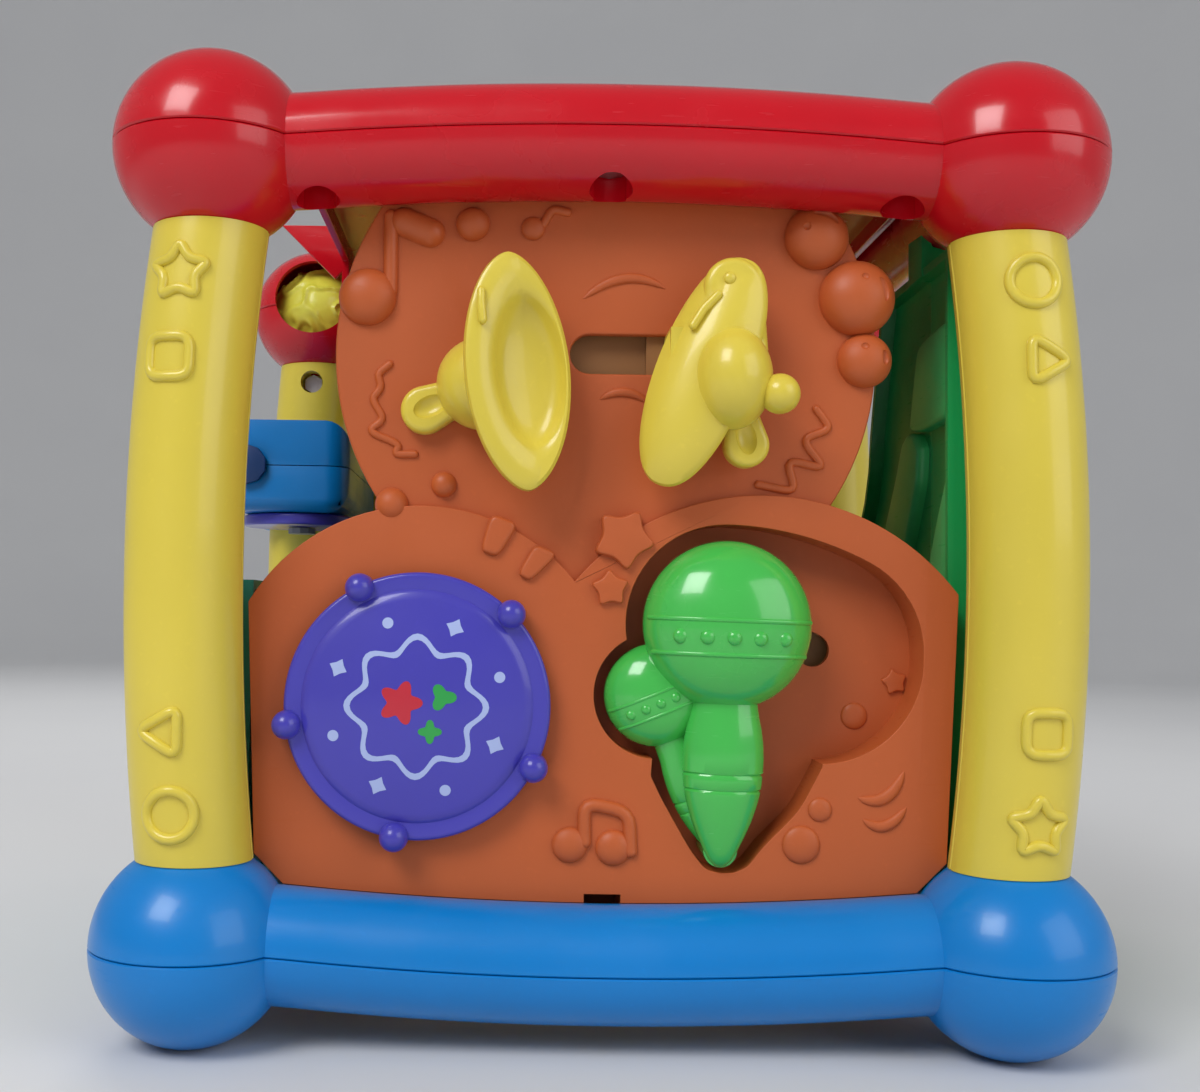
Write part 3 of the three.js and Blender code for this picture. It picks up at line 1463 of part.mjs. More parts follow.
// Roller ball with bumps, turning on its axle inside the cage
function rollerBall() {
  const body = ball(cage.x, cage.y, cage.z, rollerRadius, ballSides, 2 * ballRings);
  const bumps = [];
  for (const row of [-1, 0, 1]) {
    for (let i = 0; i < rollerBumpCount; i += 1) {
      const angle = (2 * Math.PI * (i + row / 2)) / rollerBumpCount;
      const tilt = row * rollerRowTurn * degrees;
      const bump = new THREE.OctahedronGeometry(rollerBumpRadius, 0);
      bump.translate(
        rollerRadius * Math.sin(tilt), rollerRadius * Math.cos(tilt) * Math.cos(angle),
        rollerRadius * Math.cos(tilt) * Math.sin(angle),
      );
      bumps.push(solid(bump.translate(cage.x, cage.y, cage.z)));
    }
  }
  return cut(union(body, bumps), axleBore());
}

const rollerAxle = new THREE.CylinderGeometry(
  rollerAxleRadius, rollerAxleRadius, 2 * (ballRadius - wall) - gap, boltSides,
);
piece('roller_ball', rollerBall(), finishes.lime);
piece(
  'roller_axle', solid(rollerAxle.rotateZ(Math.PI / 2).translate(cage.x, cage.y, cage.z)), finishes.grey,
);

export default cube;
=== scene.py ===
"""Looks of the activity cube: moulded rings, posts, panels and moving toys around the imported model."""
import math

import bmesh
import bpy
from mathutils import Matrix, Vector, noise


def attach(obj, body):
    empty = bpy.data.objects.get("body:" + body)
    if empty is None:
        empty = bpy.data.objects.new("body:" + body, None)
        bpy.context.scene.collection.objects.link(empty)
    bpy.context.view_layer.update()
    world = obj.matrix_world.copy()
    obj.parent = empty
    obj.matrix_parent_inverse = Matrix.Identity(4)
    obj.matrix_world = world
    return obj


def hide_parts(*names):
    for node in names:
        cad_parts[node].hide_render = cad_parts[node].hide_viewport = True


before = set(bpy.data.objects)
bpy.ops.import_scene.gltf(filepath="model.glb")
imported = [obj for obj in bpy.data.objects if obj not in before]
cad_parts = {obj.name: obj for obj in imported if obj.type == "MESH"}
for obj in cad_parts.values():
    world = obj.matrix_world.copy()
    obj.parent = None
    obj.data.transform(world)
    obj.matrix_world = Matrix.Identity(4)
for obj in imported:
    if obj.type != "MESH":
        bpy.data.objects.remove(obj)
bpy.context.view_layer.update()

# Shapes are drawn in millimetres and scaled to metres when they become pieces.
# A flat form is drawn with its depth upwards and then stood up against the front.
MM = 0.001
QUARTER = math.pi / 2
STANDING = Matrix.Rotation(QUARTER, 4, "X")

# Corner balls, rings and posts
HALF = 109.0
BASE_HEIGHT = 26.5
TOP_HEIGHT = 241.3
MIDDLE_HEIGHT = (BASE_HEIGHT + TOP_HEIGHT) / 2
BALL_RADIUS = 27.0
WALL = 2.5
GAP = 0.3
BAR_RADIUS = 15.7
BAR_BOW = 4.0
BAR_BITE = 1.3
POST_RADIUS = 15.6
POST_BOW = 5.8
SEAM = 0.12
SEAM_ROUND = 0.42
BORE_RADIUS = 4.6
BORE_DEPTH = 6.0
BAR_HALF_SPAN = HALF - math.sqrt(BALL_RADIUS**2 - BAR_RADIUS**2)
POST_HALF_SPAN = TOP_HEIGHT - MIDDLE_HEIGHT - math.sqrt(BALL_RADIUS**2 - POST_RADIUS**2)

# Front panel: x to the right, height above the floor, depth towards the viewer
LOBE_FACE = 104.0
DISC_FACE = 101.4
HOUSING_BACK = 80.0
BAY_FLOOR = 90.0
DISC_RADIUS = 75.3
DISC_HEIGHT = 188.2
DRUM_AT = (-50.25, 90.4)
PIVOT = (32.4, 52.4)


# Forms

def turned(points, steps):
    """A form of revolution about z from points of radius and height."""
    form = bmesh.new()
    line = [form.verts.new((radius, 0, height)) for radius, height in points]
    edges = [form.edges.new(pair) for pair in zip(line, line[1:])]
    bmesh.ops.spin(
        form, geom=line + edges, cent=(0, 0, 0), axis=(0, 0, 1),
        angle=math.tau, steps=steps, use_merge=True,
    )
    bmesh.ops.remove_doubles(form, verts=form.verts, dist=0.001)
    return tidied(form)


def tidied(form):
    """The form without stray points, its faces turned outwards."""
    bmesh.ops.dissolve_degenerate(form, dist=0.0005, edges=form.edges)
    bmesh.ops.recalc_face_normals(form, faces=form.faces)
    return form


def lofted(loops):
    """A skin over loops of equal count."""
    form = bmesh.new()
    rings = []
    for loop in loops:
        line = [form.verts.new(point) for point in loop]
        rings.append([form.edges.new((line[i - 1], line[i])) for i in range(len(line))])
    for ring, beyond in zip(rings, rings[1:]):
        bmesh.ops.bridge_loops(form, edges=ring + beyond)
    for ring in (rings[0], rings[-1]):
        bmesh.ops.edgeloop_fill(form, edges=ring)
    return tidied(form)


def grown_points(form, faces):
    """Extrudes the faces and gives the points of the new ones."""
    grown = bmesh.ops.extrude_face_region(form, geom=faces)["geom"]
    return [part for part in grown if isinstance(part, bmesh.types.BMVert)]


def pulled(outline, low, high):
    """A prism along z over an outline of points in x and y."""
    form = bmesh.new()
    face = form.faces.new([form.verts.new((x, y, low)) for x, y in outline])
    bmesh.ops.translate(form, verts=grown_points(form, [face]), vec=(0, 0, high - low))
    return tidied(form)


def disc(x, y, radius, low, high, sides=96):
    form = bmesh.new()
    bmesh.ops.create_cone(
        form, cap_ends=True, segments=sides, radius1=radius, radius2=radius, depth=high - low,
        matrix=Matrix.Translation((x, y, (low + high) / 2)),
    )
    return form


def block(x0, x1, y0, y1, z0, z1):
    form = bmesh.new()
    size = Matrix.Diagonal((x1 - x0, y1 - y0, z1 - z0, 1))
    middle = Matrix.Translation(((x0 + x1) / 2, (y0 + y1) / 2, (z0 + z1) / 2))
    bmesh.ops.create_cube(form, size=1, matrix=middle @ size)
    return form


def ball(x, y, z, radius, squeeze=(1, 1, 1), segments=32):
    form = bmesh.new()
    bmesh.ops.create_uvsphere(
        form, u_segments=segments, v_segments=segments // 2, radius=radius,
        matrix=Matrix.Translation((x, y, z)) @ Matrix.Diagonal((*squeeze, 1)),
    )
    return form


def moved(form, matrix):
    form.transform(matrix)
    return form


def mesh_of(form, name="held"):
    mesh = bpy.data.meshes.new(name)
    form.to_mesh(mesh)
    form.free()
    return mesh


def placed(data, name="held"):
    """A new object of the scene."""
    thing = bpy.data.objects.new(name, data)
    bpy.context.scene.collection.objects.link(thing)
    return thing


def evaluated(thing):
    """The form that an object's modifiers or its bevel make."""
    ready = thing.evaluated_get(bpy.context.evaluated_depsgraph_get())
    form = bmesh.new()
    form.from_mesh(ready.to_mesh())
    ready.to_mesh_clear()
    return form


def gathered(*forms):
    """Several closed forms in one mesh."""
    whole = bmesh.new()
    for form in forms:
        held = mesh_of(form)
        whole.from_mesh(held)
        bpy.data.meshes.remove(held)
    return whole


def worked(form, operation, tools):
    """The form after each tool has been joined to it, cut from it or met with it."""
    base = placed(mesh_of(form))
    parts = [placed(mesh_of(tool)) for tool in tools]
    for part in parts:
        change = base.modifiers.new("work", "BOOLEAN")
        change.operation = operation
        change.solver = "EXACT"
        change.object = part
    result = evaluated(base)
    for thing in (base, *parts):
        mesh = thing.data
        bpy.data.objects.remove(thing)
        bpy.data.meshes.remove(mesh)
    bmesh.ops.remove_doubles(result, verts=result.verts, dist=0.002)
    return tidied(result)


def joined(form, *tools):
    return worked(form, "UNION", tools)


def cut(form, *tools):
    return worked(form, "DIFFERENCE", tools)


def met(form, *tools):
    return worked(form, "INTERSECT", tools)


SHARP_EDGE = math.radians(35)


def flattened(form, angle=0.5):
    """Joins the faces that lie in one plane, so that rims can be rounded."""
    bmesh.ops.dissolve_limit(
        form, angle_limit=math.radians(angle), verts=form.verts, edges=form.edges,
        use_dissolve_boundaries=False,
    )
    return form


def rounded(form, radius, chosen=lambda edge: True, segments=4):
    """Rounds the sharp edges that the test chooses."""
    edges = [
        edge for edge in form.edges
        if len(edge.link_faces) == 2 and edge.calc_face_angle(0) > SHARP_EDGE and chosen(edge)
    ]
    bmesh.ops.bevel(
        form, geom=edges, offset=radius, offset_type="OFFSET", segments=segments, profile=0.5,
        affect="EDGES", clamp_overlap=True, material=-1,
    )
    return form


def at_depth(level):
    """A test for the edges of one depth."""
    return lambda edge: all(abs(point.co.z - level) < 0.02 for point in edge.verts)


def bead(points, radius, closed=False):
    """A round bead along points, its ends domed."""
    curve = bpy.data.curves.new("held", "CURVE")
    curve.dimensions = "3D"
    curve.bevel_depth = radius
    curve.bevel_resolution = 5
    curve.use_fill_caps = True
    spline = curve.splines.new("POLY")
    spline.points.add(len(points) - 1)
    for place, point in zip(spline.points, points):
        place.co = (*point, 1)
    spline.use_cyclic_u = closed
    thing = placed(curve)
    bpy.context.view_layer.update()
    form = evaluated(thing)
    bpy.data.objects.remove(thing)
    bpy.data.curves.remove(curve)
    bmesh.ops.remove_doubles(form, verts=form.verts, dist=0.01)
    if not closed:
        form = gathered(form, *(ball(*end, radius, segments=16) for end in (points[0], points[-1])))
    return tidied(form)


def softened_line(points, closed=False, reach=0.35):
    """The points with each corner eased by a short curve."""
    count = len(points)
    steps = 4
    eased = []
    for i, point in enumerate(points):
        here = Vector(point)
        if not closed and i in (0, count - 1):
            eased.append(tuple(here))
            continue
        before = here.lerp(Vector(points[i - 1]), reach)
        after = here.lerp(Vector(points[(i + 1) % count]), reach)
        for k in range(steps + 1):
            share = k / steps
            eased.append(tuple(before.lerp(here, share).lerp(here.lerp(after, share), share)))
    return eased


def flat_line(points, closed=True, reach=0.3):
    return [point[:2] for point in softened_line([(x, y, 0) for x, y in points], closed, reach)]


def arc(radius, start, end, steps):
    angles = [start + (end - start) * i / steps for i in range(steps + 1)]
    return [(radius * math.cos(angle), radius * math.sin(angle)) for angle in angles]


def ring_points(x, y, radius, count):
    angles = [math.tau * i / count for i in range(count)]
    return [(x + radius * math.cos(angle), y + radius * math.sin(angle)) for angle in angles]


def star_points(x, y, radius, inner_share=0.55, turn=0.0, arms=5):
    points = []
    for i in range(2 * arms):
        reach = radius if i % 2 == 0 else radius * inner_share
        angle = QUARTER + turn + math.pi * i / arms
        points.append((x + reach * math.cos(angle), y + reach * math.sin(angle)))
    return points


# Finishes

class Flow:
    """A socket of a finish. Python sums on it add Math nodes."""

    def __init__(self, finish, socket):
        self.finish = finish
        self.socket = socket

    def sum(self, operation, *values):
        return self.finish.add("ShaderNodeMath", {"operation": operation}, dict(enumerate(values)))

    def __add__(self, other):
        return self.sum("ADD", self, other)

    def __mul__(self, other):
        return self.sum("MULTIPLY", self, other)

    __radd__ = __add__
    __rmul__ = __mul__


class Finish:
    """A material and its node tree."""

    def __init__(self, name):
        self.material = bpy.data.materials.new(name)
        self.material.use_nodes = True
        self.tree = self.material.node_tree
        self.shader = self.tree.nodes["Principled BSDF"]

    def add(self, kind, settings=None, values=None, output=0):
        node = self.tree.nodes.new(kind)
        for key, value in (settings or {}).items():
            setattr(node, key, value)
        for key, value in (values or {}).items():
            self.feed(node.inputs[key], value)
        return Flow(self, node.outputs[output])

    def feed(self, socket, value):
        if isinstance(value, Flow):
            self.tree.links.new(value.socket, socket)
        else:
            socket.default_value = value

    def noise(self, scale, detail, stretch=None):
        place = self.add("ShaderNodeTexCoord", output="Object")
        if stretch:
            place = self.add("ShaderNodeMapping", None, {"Vector": place, "Scale": stretch})
        return self.add("ShaderNodeTexNoise", None, {"Vector": place, "Scale": scale, "Detail": detail})

    def band(self, flow, low, high):
        """Zero below low, one above high."""
        return self.add(
            "ShaderNodeMapRange", {"interpolation_type": "SMOOTHSTEP"},
            {"Value": flow, "From Min": low, "From Max": high},
        )

    def mixed(self, share, first, second):
        return self.add("ShaderNodeMix", {"data_type": "RGBA"}, {0: share, 6: first, 7: second}, 2)


def linear(code):
    """A colour written as six hex digits, as the shader wants it."""
    parts = [int(code[i:i + 2], 16) / 255 for i in (0, 2, 4)]
    return (*(c / 12.92 if c <= 0.04045 else ((c + 0.055) / 1.055) ** 2.4 for c in parts), 1.0)


def scaled(colour, share):
    return (*(min(1.0, c * share) for c in colour[:3]), 1.0)


# Patterns in moulded plastic, in repeats over a metre, and the depth of its sink waves in metres
FLOW_SCALE = 26.0
DUST_SCALE = 420.0
SMUDGE_SCALE = 38.0
SCUFF_SCALE = 90.0
WAVE_SCALE = 55.0
WAVE_DEPTH = 0.00016
COAT_ROUGHNESS = 0.08
PLASTIC_INDEX = 1.44


def moulded(name, code, rough, coat, grain_scale, grain):
    """Moulded plastic: faint flow marks in the colour, smudged gloss, fine grain and slight sink waves."""
    finish = Finish(name)
    colour = linear(code)
    flow_marks = finish.noise(FLOW_SCALE, 3.0, (1.0, 1.0, 0.55))
    dust = finish.band(finish.noise(DUST_SCALE, 4.0), 0.60, 0.78)
    body = finish.mixed(flow_marks, scaled(colour, 0.90), scaled(colour, 1.08))
    body = finish.mixed(dust * 0.12, body, scaled(colour, 1.35))
    smudges = finish.band(finish.noise(SMUDGE_SCALE, 5.0), 0.42, 0.68)
    scuffs = finish.band(finish.noise(SCUFF_SCALE, 2.0, (1.0, 1.0, 9.0)), 0.66, 0.74)
    lift = finish.noise(grain_scale, 3.0) * grain + finish.noise(WAVE_SCALE, 1.0) * WAVE_DEPTH
    bump = finish.add("ShaderNodeBump", None, {"Height": lift, "Strength": 1.0, "Distance": 1.0})
    shader = finish.shader.inputs
    finish.feed(shader["Base Color"], body)
    finish.feed(shader["Roughness"], smudges * 0.10 + scuffs * 0.16 + rough)
    finish.feed(shader["Normal"], bump)
    shader["Coat Weight"].default_value = coat
    shader["Coat Roughness"].default_value = COAT_ROUGHNESS
    shader["IOR"].default_value = PLASTIC_INDEX
    return finish.material


def metal(name, code, rough):
    finish = Finish(name)
    colour = linear(code)
    brushing = finish.noise(700.0, 3.0, (1.0, 1.0, 0.1))
    finish.feed(finish.shader.inputs["Base Color"], finish.mixed(brushing, scaled(colour, 0.8), colour))
    finish.feed(finish.shader.inputs["Roughness"], brushing * 0.2 + rough)
    finish.shader.inputs["Metallic"].default_value = 1.0
    return finish.material


# Name, colour, roughness, coat, scale of the grain and its depth in metres
PLASTICS = {
    "red": ("glossy_red_plastic", "c60a1c", 0.20, 0.25, 1500.0, 0.000004),
    "blue": ("blue_plastic", "007ccb", 0.30, 0.15, 1300.0, 0.000007),
    "yellow": ("yellow_plastic", "dcc748", 0.30, 0.25, 1300.0, 0.000007),
    "orange": ("satin_orange_plastic", "bd5c2d", 0.44, 0.0, 1100.0, 0.000016),
    "purple": ("purple_plastic", "4540b0", 0.28, 0.3, 1500.0, 0.000005),
    "green": ("glossy_green_plastic", "45bd50", 0.18, 0.6, 1500.0, 0.000003),
    "leaf_green": ("leaf_green_plastic", "179a50", 0.34, 0.1, 1400.0, 0.000005),
    # a lighter copy of the leaf green: painted light on the raised fields of the right panel
    "leaf_painted_light": ("leaf_green_painted_light_plastic", "3fc06e", 0.34, 0.1, 1400.0, 0.000005),
    "teal": ("teal_plastic", "1d9a94", 0.34, 0.2, 1300.0, 0.000007),
    "lime": ("lime_plastic", "d3cf45", 0.34, 0.25, 1300.0, 0.000008),
    "navy": ("navy_plastic", "123a72", 0.36, 0.2, 1300.0, 0.000008),
    "grey": ("grey_plastic", "85888c", 0.5, 0.0, 1000.0, 0.000014),
    "board": ("board_lacquer", "1d6b3a", 0.4, 0.3, 900.0, 0.000010),
    "cell": ("dark_cell_plastic", "3a3d42", 0.4, 0.2, 1000.0, 0.000010),
    # olive-brown: painted shade, the colour of yellow plastic seen in the dim inside of a slot
    "slot_painted_shade": ("olive_painted_shade_plastic", "96683c", 0.45, 0.0, 1000.0, 0.000014),
    "light_blue": ("light_blue_ink", "a9b9e8", 0.36, 0.2, 1500.0, 0.000004),
    "ink_red": ("red_ink", "c22a3a", 0.36, 0.2, 1500.0, 0.000004),
    "ink_green": ("green_ink", "2fa24c", 0.36, 0.2, 1500.0, 0.000004),
}
FINISHES = {key: moulded(*row) for key, row in PLASTICS.items()}
FINISHES["steel"] = metal("screw_steel", "b9bcc0", 0.25)


def piece(name, form, finish, body="frame", crease=38, flat=False):
    """Turns a form in millimetres into a piece that rides on a body and replaces the node of its name."""
    if flat:
        form.transform(STANDING)
    form.transform(Matrix.Scale(MM, 4))
    mesh = mesh_of(form, name)
    mesh.polygons.foreach_set("use_smooth", [True] * len(mesh.polygons))
    mesh.set_sharp_from_angle(angle=math.radians(crease))
    mesh.materials.append(FINISHES[finish])
    thing = placed(mesh, name)
    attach(thing, body)
    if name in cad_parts:
        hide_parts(name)


# Rings

CORNERS = ((-1, -1), (1, -1), (1, 1), (-1, 1))
BAR_TURNS = {"front": 0.0, "right": QUARTER, "back": math.pi, "left": -QUARTER}


def half_round(radius):
    """Outline of a half disc whose two seam corners are eased."""
    start = math.asin((SEAM + SEAM_ROUND) / radius)
    flat_end = radius - SEAM_ROUND
    return [(flat_end, SEAM)] + arc(radius, start, math.pi - start, 24) + [(-flat_end, SEAM)]


def ball_half(upper):
    start = math.asin((SEAM + SEAM_ROUND) / BALL_RADIUS)
    inside = BALL_RADIUS - WALL
    profile = arc(inside, QUARTER, math.asin(SEAM / inside), 8)
    profile += [(BALL_RADIUS - SEAM_ROUND, SEAM)] + arc(BALL_RADIUS, start, QUARTER, 20)
    profile[0] = (0, inside)
    profile[-1] = (0, BALL_RADIUS)
    form = turned(profile, 80)
    return form if upper else moved(form, Matrix.Scale(-1, 4, (0, 0, 1)))


def bar_lift(x, bow):
    """How far a bar's middle line stands above its ends."""
    return bow * BAR_BOW * max(0.0, 1 - (x / BAR_HALF_SPAN) ** 2)


def bar_half(side, height, bow, upper):
    reach = BAR_HALF_SPAN + BAR_BITE
    steps = 28
    turn = 1 if upper else -1
    loops = []
    for i in range(steps + 1):
        x = reach * (2 * i / steps - 1)
        loops.append([(x, y, turn * z + bar_lift(x, bow)) for y, z in half_round(BAR_RADIUS)])
    place = Matrix.Rotation(BAR_TURNS[side], 4, "Z") @ Matrix.Translation((0, -HALF, height))
    return moved(lofted(loops), place)


def bar_spot(side, x, height):
    return Matrix.Rotation(BAR_TURNS[side], 4, "Z") @ Vector((x, -HALF, height))


def bore_mouth(side, x, low):
    """A wider mouth of a screw hole, turned towards the outside of the cube."""
    shift = 5.0 if x == 0 else 3.4
    # Radius, shift outwards and height above the bar's lowest line
    rows = ((5.9, shift, -4.0), (5.9, shift, 4.2), (5.5, shift * 0.8, 5.6), (4.2, 0.6, 7.4))
    loops = [[(*point, z) for point in ring_points(x, -HALF - off, radius, 40)] for radius, off, z in rows]
    place = Matrix.Translation((0, 0, low)) @ Matrix.Rotation(BAR_TURNS[side], 4, "Z")
    return moved(lofted(loops), place)


BORE_X = 79.5


def ring_half(name, sides, height, bow, upper, finish, openings=()):
    parts = [bar_half(side, height, bow, upper) for side in sides]
    for way_x, way_y in CORNERS:
        parts.append(moved(ball_half(upper), Matrix.Translation((way_x * HALF, way_y * HALF, height))))
    for part in parts:
        tidied(part)
    form = joined(*parts)
    tools = list(openings)
    if not upper:
        for side in sides:
            for x in (-BORE_X, 0, BORE_X):
                at = bar_spot(side, x, height)
                low = height + bar_lift(x, bow) - BAR_RADIUS
                tools.append(disc(at.x, at.y, BORE_RADIUS, low - 2, low + BORE_DEPTH + 3, 32))
                if bow > 0:
                    tools.append(bore_mouth(side, x, low))
    if tools:
        form = cut(form, *tools)
    piece(name, form, finish, crease=32)


CAGE = (-HALF, HALF, TOP_HEIGHT)
WINDOW_RADIUS = 15.6
WINDOW_LIFT = 4.0


def cage_window():
    """The round opening in the cage's ball, towards the front."""
    place = Matrix.Translation((CAGE[0], CAGE[1] - 10, CAGE[2] + WINDOW_LIFT))
    return moved(disc(0, 0, WINDOW_RADIUS, 0, 30, 64), place @ STANDING)


TOP_SIDES = ("front", "right", "back")
BASE_SIDES = tuple(BAR_TURNS)
ring_half("top_ring_upper", TOP_SIDES, TOP_HEIGHT, 1, True, "red", [cage_window()])
ring_half("top_ring_lower", TOP_SIDES, TOP_HEIGHT, 1, False, "red", [cage_window()])
ring_half("base_ring_upper", BASE_SIDES, BASE_HEIGHT, -1, True, "blue")
ring_half(
    "base_ring_lower", BASE_SIDES, BASE_HEIGHT, -1, False, "blue", [block(-200, 200, -200, 200, -40, 0)],
)


# Posts

def post_bow(height):
    return POST_BOW * max(0.0, 1 - ((height - MIDDLE_HEIGHT) / POST_HALF_SPAN) ** 2) / math.sqrt(2)


def post_half(way_x, way_y, outside):
    """Half of the post at the corner whose x and y have these signs."""
    side = way_y if outside else -way_y
    section = [(x, side * y) for x, y in half_round(POST_RADIUS)]
    steps = 36
    loops = []
    for i in range(steps + 1):
        share = 2 * i / steps - 1
        loop = []
        for x, y in section:
            off = math.hypot(x, y)
            clear = math.sqrt((BALL_RADIUS + GAP) ** 2 - off**2)
            z = share * (TOP_HEIGHT - MIDDLE_HEIGHT - clear)
            bow = post_bow(MIDDLE_HEIGHT + z)
            loop.append((way_x * (HALF + bow) + x, way_y * (HALF + bow) + y, MIDDLE_HEIGHT + z))
        loops.append(loop)
    return lofted(loops)


def post_front(way_x, x, z):
    """The point of a front post's face that stands before x at height z."""
    bow = post_bow(z)
    off = x - way_x * (HALF + bow)
    return (x, -(HALF + bow) - math.sqrt(max(0.0, POST_RADIUS**2 - off**2)), z)


POST_SCREW_INSET = 8.4
for label, way_x, way_y in (
    ("front_left", -1, -1), ("front_right", 1, -1), ("back_left", -1, 1), ("back_right", 1, 1),
):
    for half_name, outside in (("outer", True), ("inner", False)):
        form = post_half(way_x, way_y, outside)
        if not outside:
            bores = []
            for end in (-1, 1):
                z = MIDDLE_HEIGHT + end * (POST_HALF_SPAN - POST_SCREW_INSET)
                centre = Matrix.Translation((way_x * (HALF + post_bow(z)), way_y * (HALF + post_bow(z)), z))
                turn = Matrix.Rotation(way_y * QUARTER, 4, "X")
                bores.append(moved(disc(0, 0, BORE_RADIUS, BORE_DEPTH, 40, 32), centre @ turn))
            form = cut(form, *bores)
        node = f"{label}_post_{half_name}"
        piece(node, form, "yellow", crease=32)


MARK_RADIUS = 1.45
MARK_STEP = 1.2


def post_mark(way_x, outline):
    """A bead along a closed outline, with enough points to follow the round post."""
    line = []
    for (x0, z0), (x1, z1) in zip(outline, outline[1:] + outline[:1]):
        count = max(1, math.ceil(math.hypot(x1 - x0, z1 - z0) / MARK_STEP))
        line += [(x0 + (x1 - x0) * i / count, z0 + (z1 - z0) * i / count) for i in range(count)]
    return bead([post_front(way_x, x, z) for x, z in line], MARK_RADIUS, True)


def post_marks(name, way_x, marks):
    forms = []
    for kind, x, z, size in marks:
        if kind == "circle":
            outline = ring_points(x, z, size, 32)
        elif kind == "square":
            outline = flat_line([(x + size * dx, z + size * dz) for dx, dz in CORNERS])
        elif kind == "star":
            outline = flat_line(star_points(x, z, size))
        else:
            tip = -size if kind == "triangle_left" else size
            foot = x - tip * 0.7
            outline = flat_line([(x + tip, z), (foot, z + size), (foot, z - size)], reach=0.25)
        forms.append(post_mark(way_x, outline))
    piece(name, gathered(*forms), "yellow")


post_marks("front_left_post_marks", -1, (
    ("star", -113.7, 204.0, 7.8), ("square", -115.4, 181.2, 5.4),
    ("triangle_left", -114.9, 84.0, 6.2), ("circle", -112.2, 62.6, 6.3),
))
post_marks("front_right_post_marks", 1, (
    ("circle", 110.6, 205.1, 6.3), ("triangle_right", 113.7, 183.9, 6.2),
    ("square", 113.0, 86.8, 5.4), ("star", 111.4, 62.7, 7.8),
))


# Front panel

PANEL_HALF_WIDTH = 97.5
PANEL_FOOT = 94.2
PANEL_SHOULDER = 121.0
PANEL_BOTTOM = 40.6
PANEL_CHAMFER = 9.0
SEAT_TOP = TOP_HEIGHT + BAR_BOW - BAR_RADIUS - GAP
MARACA_REACH, MARACA_HEAD, MARACA_LEAN, MARACA_SWING = 61.0, 23.1, 1.3, 26.0
SMALL_REACH, SMALL_HEAD, SMALL_LEAN = 45.0, 14.2, -23.0
BAY_MARGIN, SMALL_MARGIN = 4.5, 3.0
BAY_RIGHT_SHARES = ((0.541, 0.235), (0.318, 0.234), (0.105, 0.166))
BAY_LEFT_SHARES = ((0.051, 0.123), (0.3, 0.154), (0.416, 0.16))
BAY_FOOT_DROP = 6.3
BAY_FOOT = ((7.6, -4.6), (3.9, -6.2), (0.0, -BAY_FOOT_DROP), (-3.9, -5.3))
# What of the disc would stand behind the lobes
LOBES_TOP = 144.3
BEHIND_LOBES = (
    (-100.0, 118.0), (3.0, 118.0), (4.0, 127.0), (8.0, 131.5), (18.0, 140.2), (30.0, LOBES_TOP),
    (100.0, LOBES_TOP), (100.0, 100.0), (-100.0, 100.0),
)
# Place and radius of each lobe
LEFT_LOBE = (*DRUM_AT, 54.5)
RIGHT_LOBE = (44.0, 82.0, 67.2)
BAY_END_REACH = 58.7
BAY_END_RADIUS = 28.6
DRUM_HOLE_RADIUS = 29.8
GUIDE_RADIUS = 4.7
DISC_FOOT = 82.0
LEFT_PEG = (-24.8, 180.3)
PEG_HOLE_RADIUS = 5.3
LOBE_ROUND = 1.9
DISC_ROUND = 1.5
# Left, right, lower and upper edges, and then depths where there are two more
SLOT = (-10.0, 37.0, 182.7, 193.7)
SLOT_BACKING = (-14.5, 45.0, 177.5, 199.0, 95.4, 96.0)
# Left, right and upper edges
LATCH_NOTCH = (-4.4, 5.6, 40.0)
# Radius and depths
GUIDE_BACKING = (7.0, 82.4, 83.8)


def lobe_form(inset, low, high):
    """The drum's and the maracas' lobes in one outline, drawn in by an inset."""
    side = PANEL_HALF_WIDTH - inset
    foot = PANEL_FOOT - inset
    bottom = PANEL_BOTTOM + inset
    chamfer = bottom + PANEL_CHAMFER
    flat_foot = foot - PANEL_CHAMFER
    limits = [
        (flat_foot, bottom), (foot, chamfer), (side, PANEL_SHOULDER), (side, DISC_HEIGHT),
        (-side, DISC_HEIGHT), (-side, PANEL_SHOULDER), (-foot, chamfer), (-flat_foot, bottom),
    ]
    if not inset:
        limits += [(-flat_foot, BASE_HEIGHT), (flat_foot, BASE_HEIGHT)]
    left_x, left_y, left_radius = LEFT_LOBE
    right_x, right_y, right_radius = RIGHT_LOBE
    whole = joined(
        disc(left_x, left_y, left_radius - inset, low, high, 128),
        disc(right_x, right_y, right_radius - inset, low, high, 144),
        block(-side, side, bottom - 20, right_y, low, high),
    )
    return met(whole, pulled(limits, low - 1, high + 1))


def bar_room(height, bow):
    """The space of a front bar and its gap, which the panel keeps clear of."""
    loops = []
    for i in range(29):
        x = 100.0 * (i / 14 - 1)
        section = ring_points(height + bar_lift(x, bow), HALF, BAR_RADIUS + GAP, 64)
        loops.append([(x, *point) for point in section])
    return lofted(loops)


def disc_form(inset, low, high):
    round_form = disc(0, DISC_HEIGHT, DISC_RADIUS - inset, low, high, 160)
    return met(round_form, block(-100, 100, DISC_FOOT, SEAT_TOP + WALL - inset, low - 1, high + 1))


def swing_point(reach, lean):
    angle = math.radians(lean)
    return (PIVOT[0] + reach * math.sin(angle), PIVOT[1] + reach * math.cos(angle))


def bean(reach, radius, lean, end, low, high):
    """A round-ended prism along an arc about the pivot, from one lean to another."""
    steps = 28
    points = []
    for off, first, last, start in ((radius, lean, end, 90), (-radius, end, lean, 270)):
        points += [swing_point(reach + off, first + (last - first) * i / steps) for i in range(steps + 1)]
        x, y = swing_point(reach, last)
        turn = math.radians(start - last)
        points += [(x + dx, y + dy) for dx, dy in arc(radius, turn, turn - math.pi, steps)[1:-1]]
    return pulled(points, low, high)


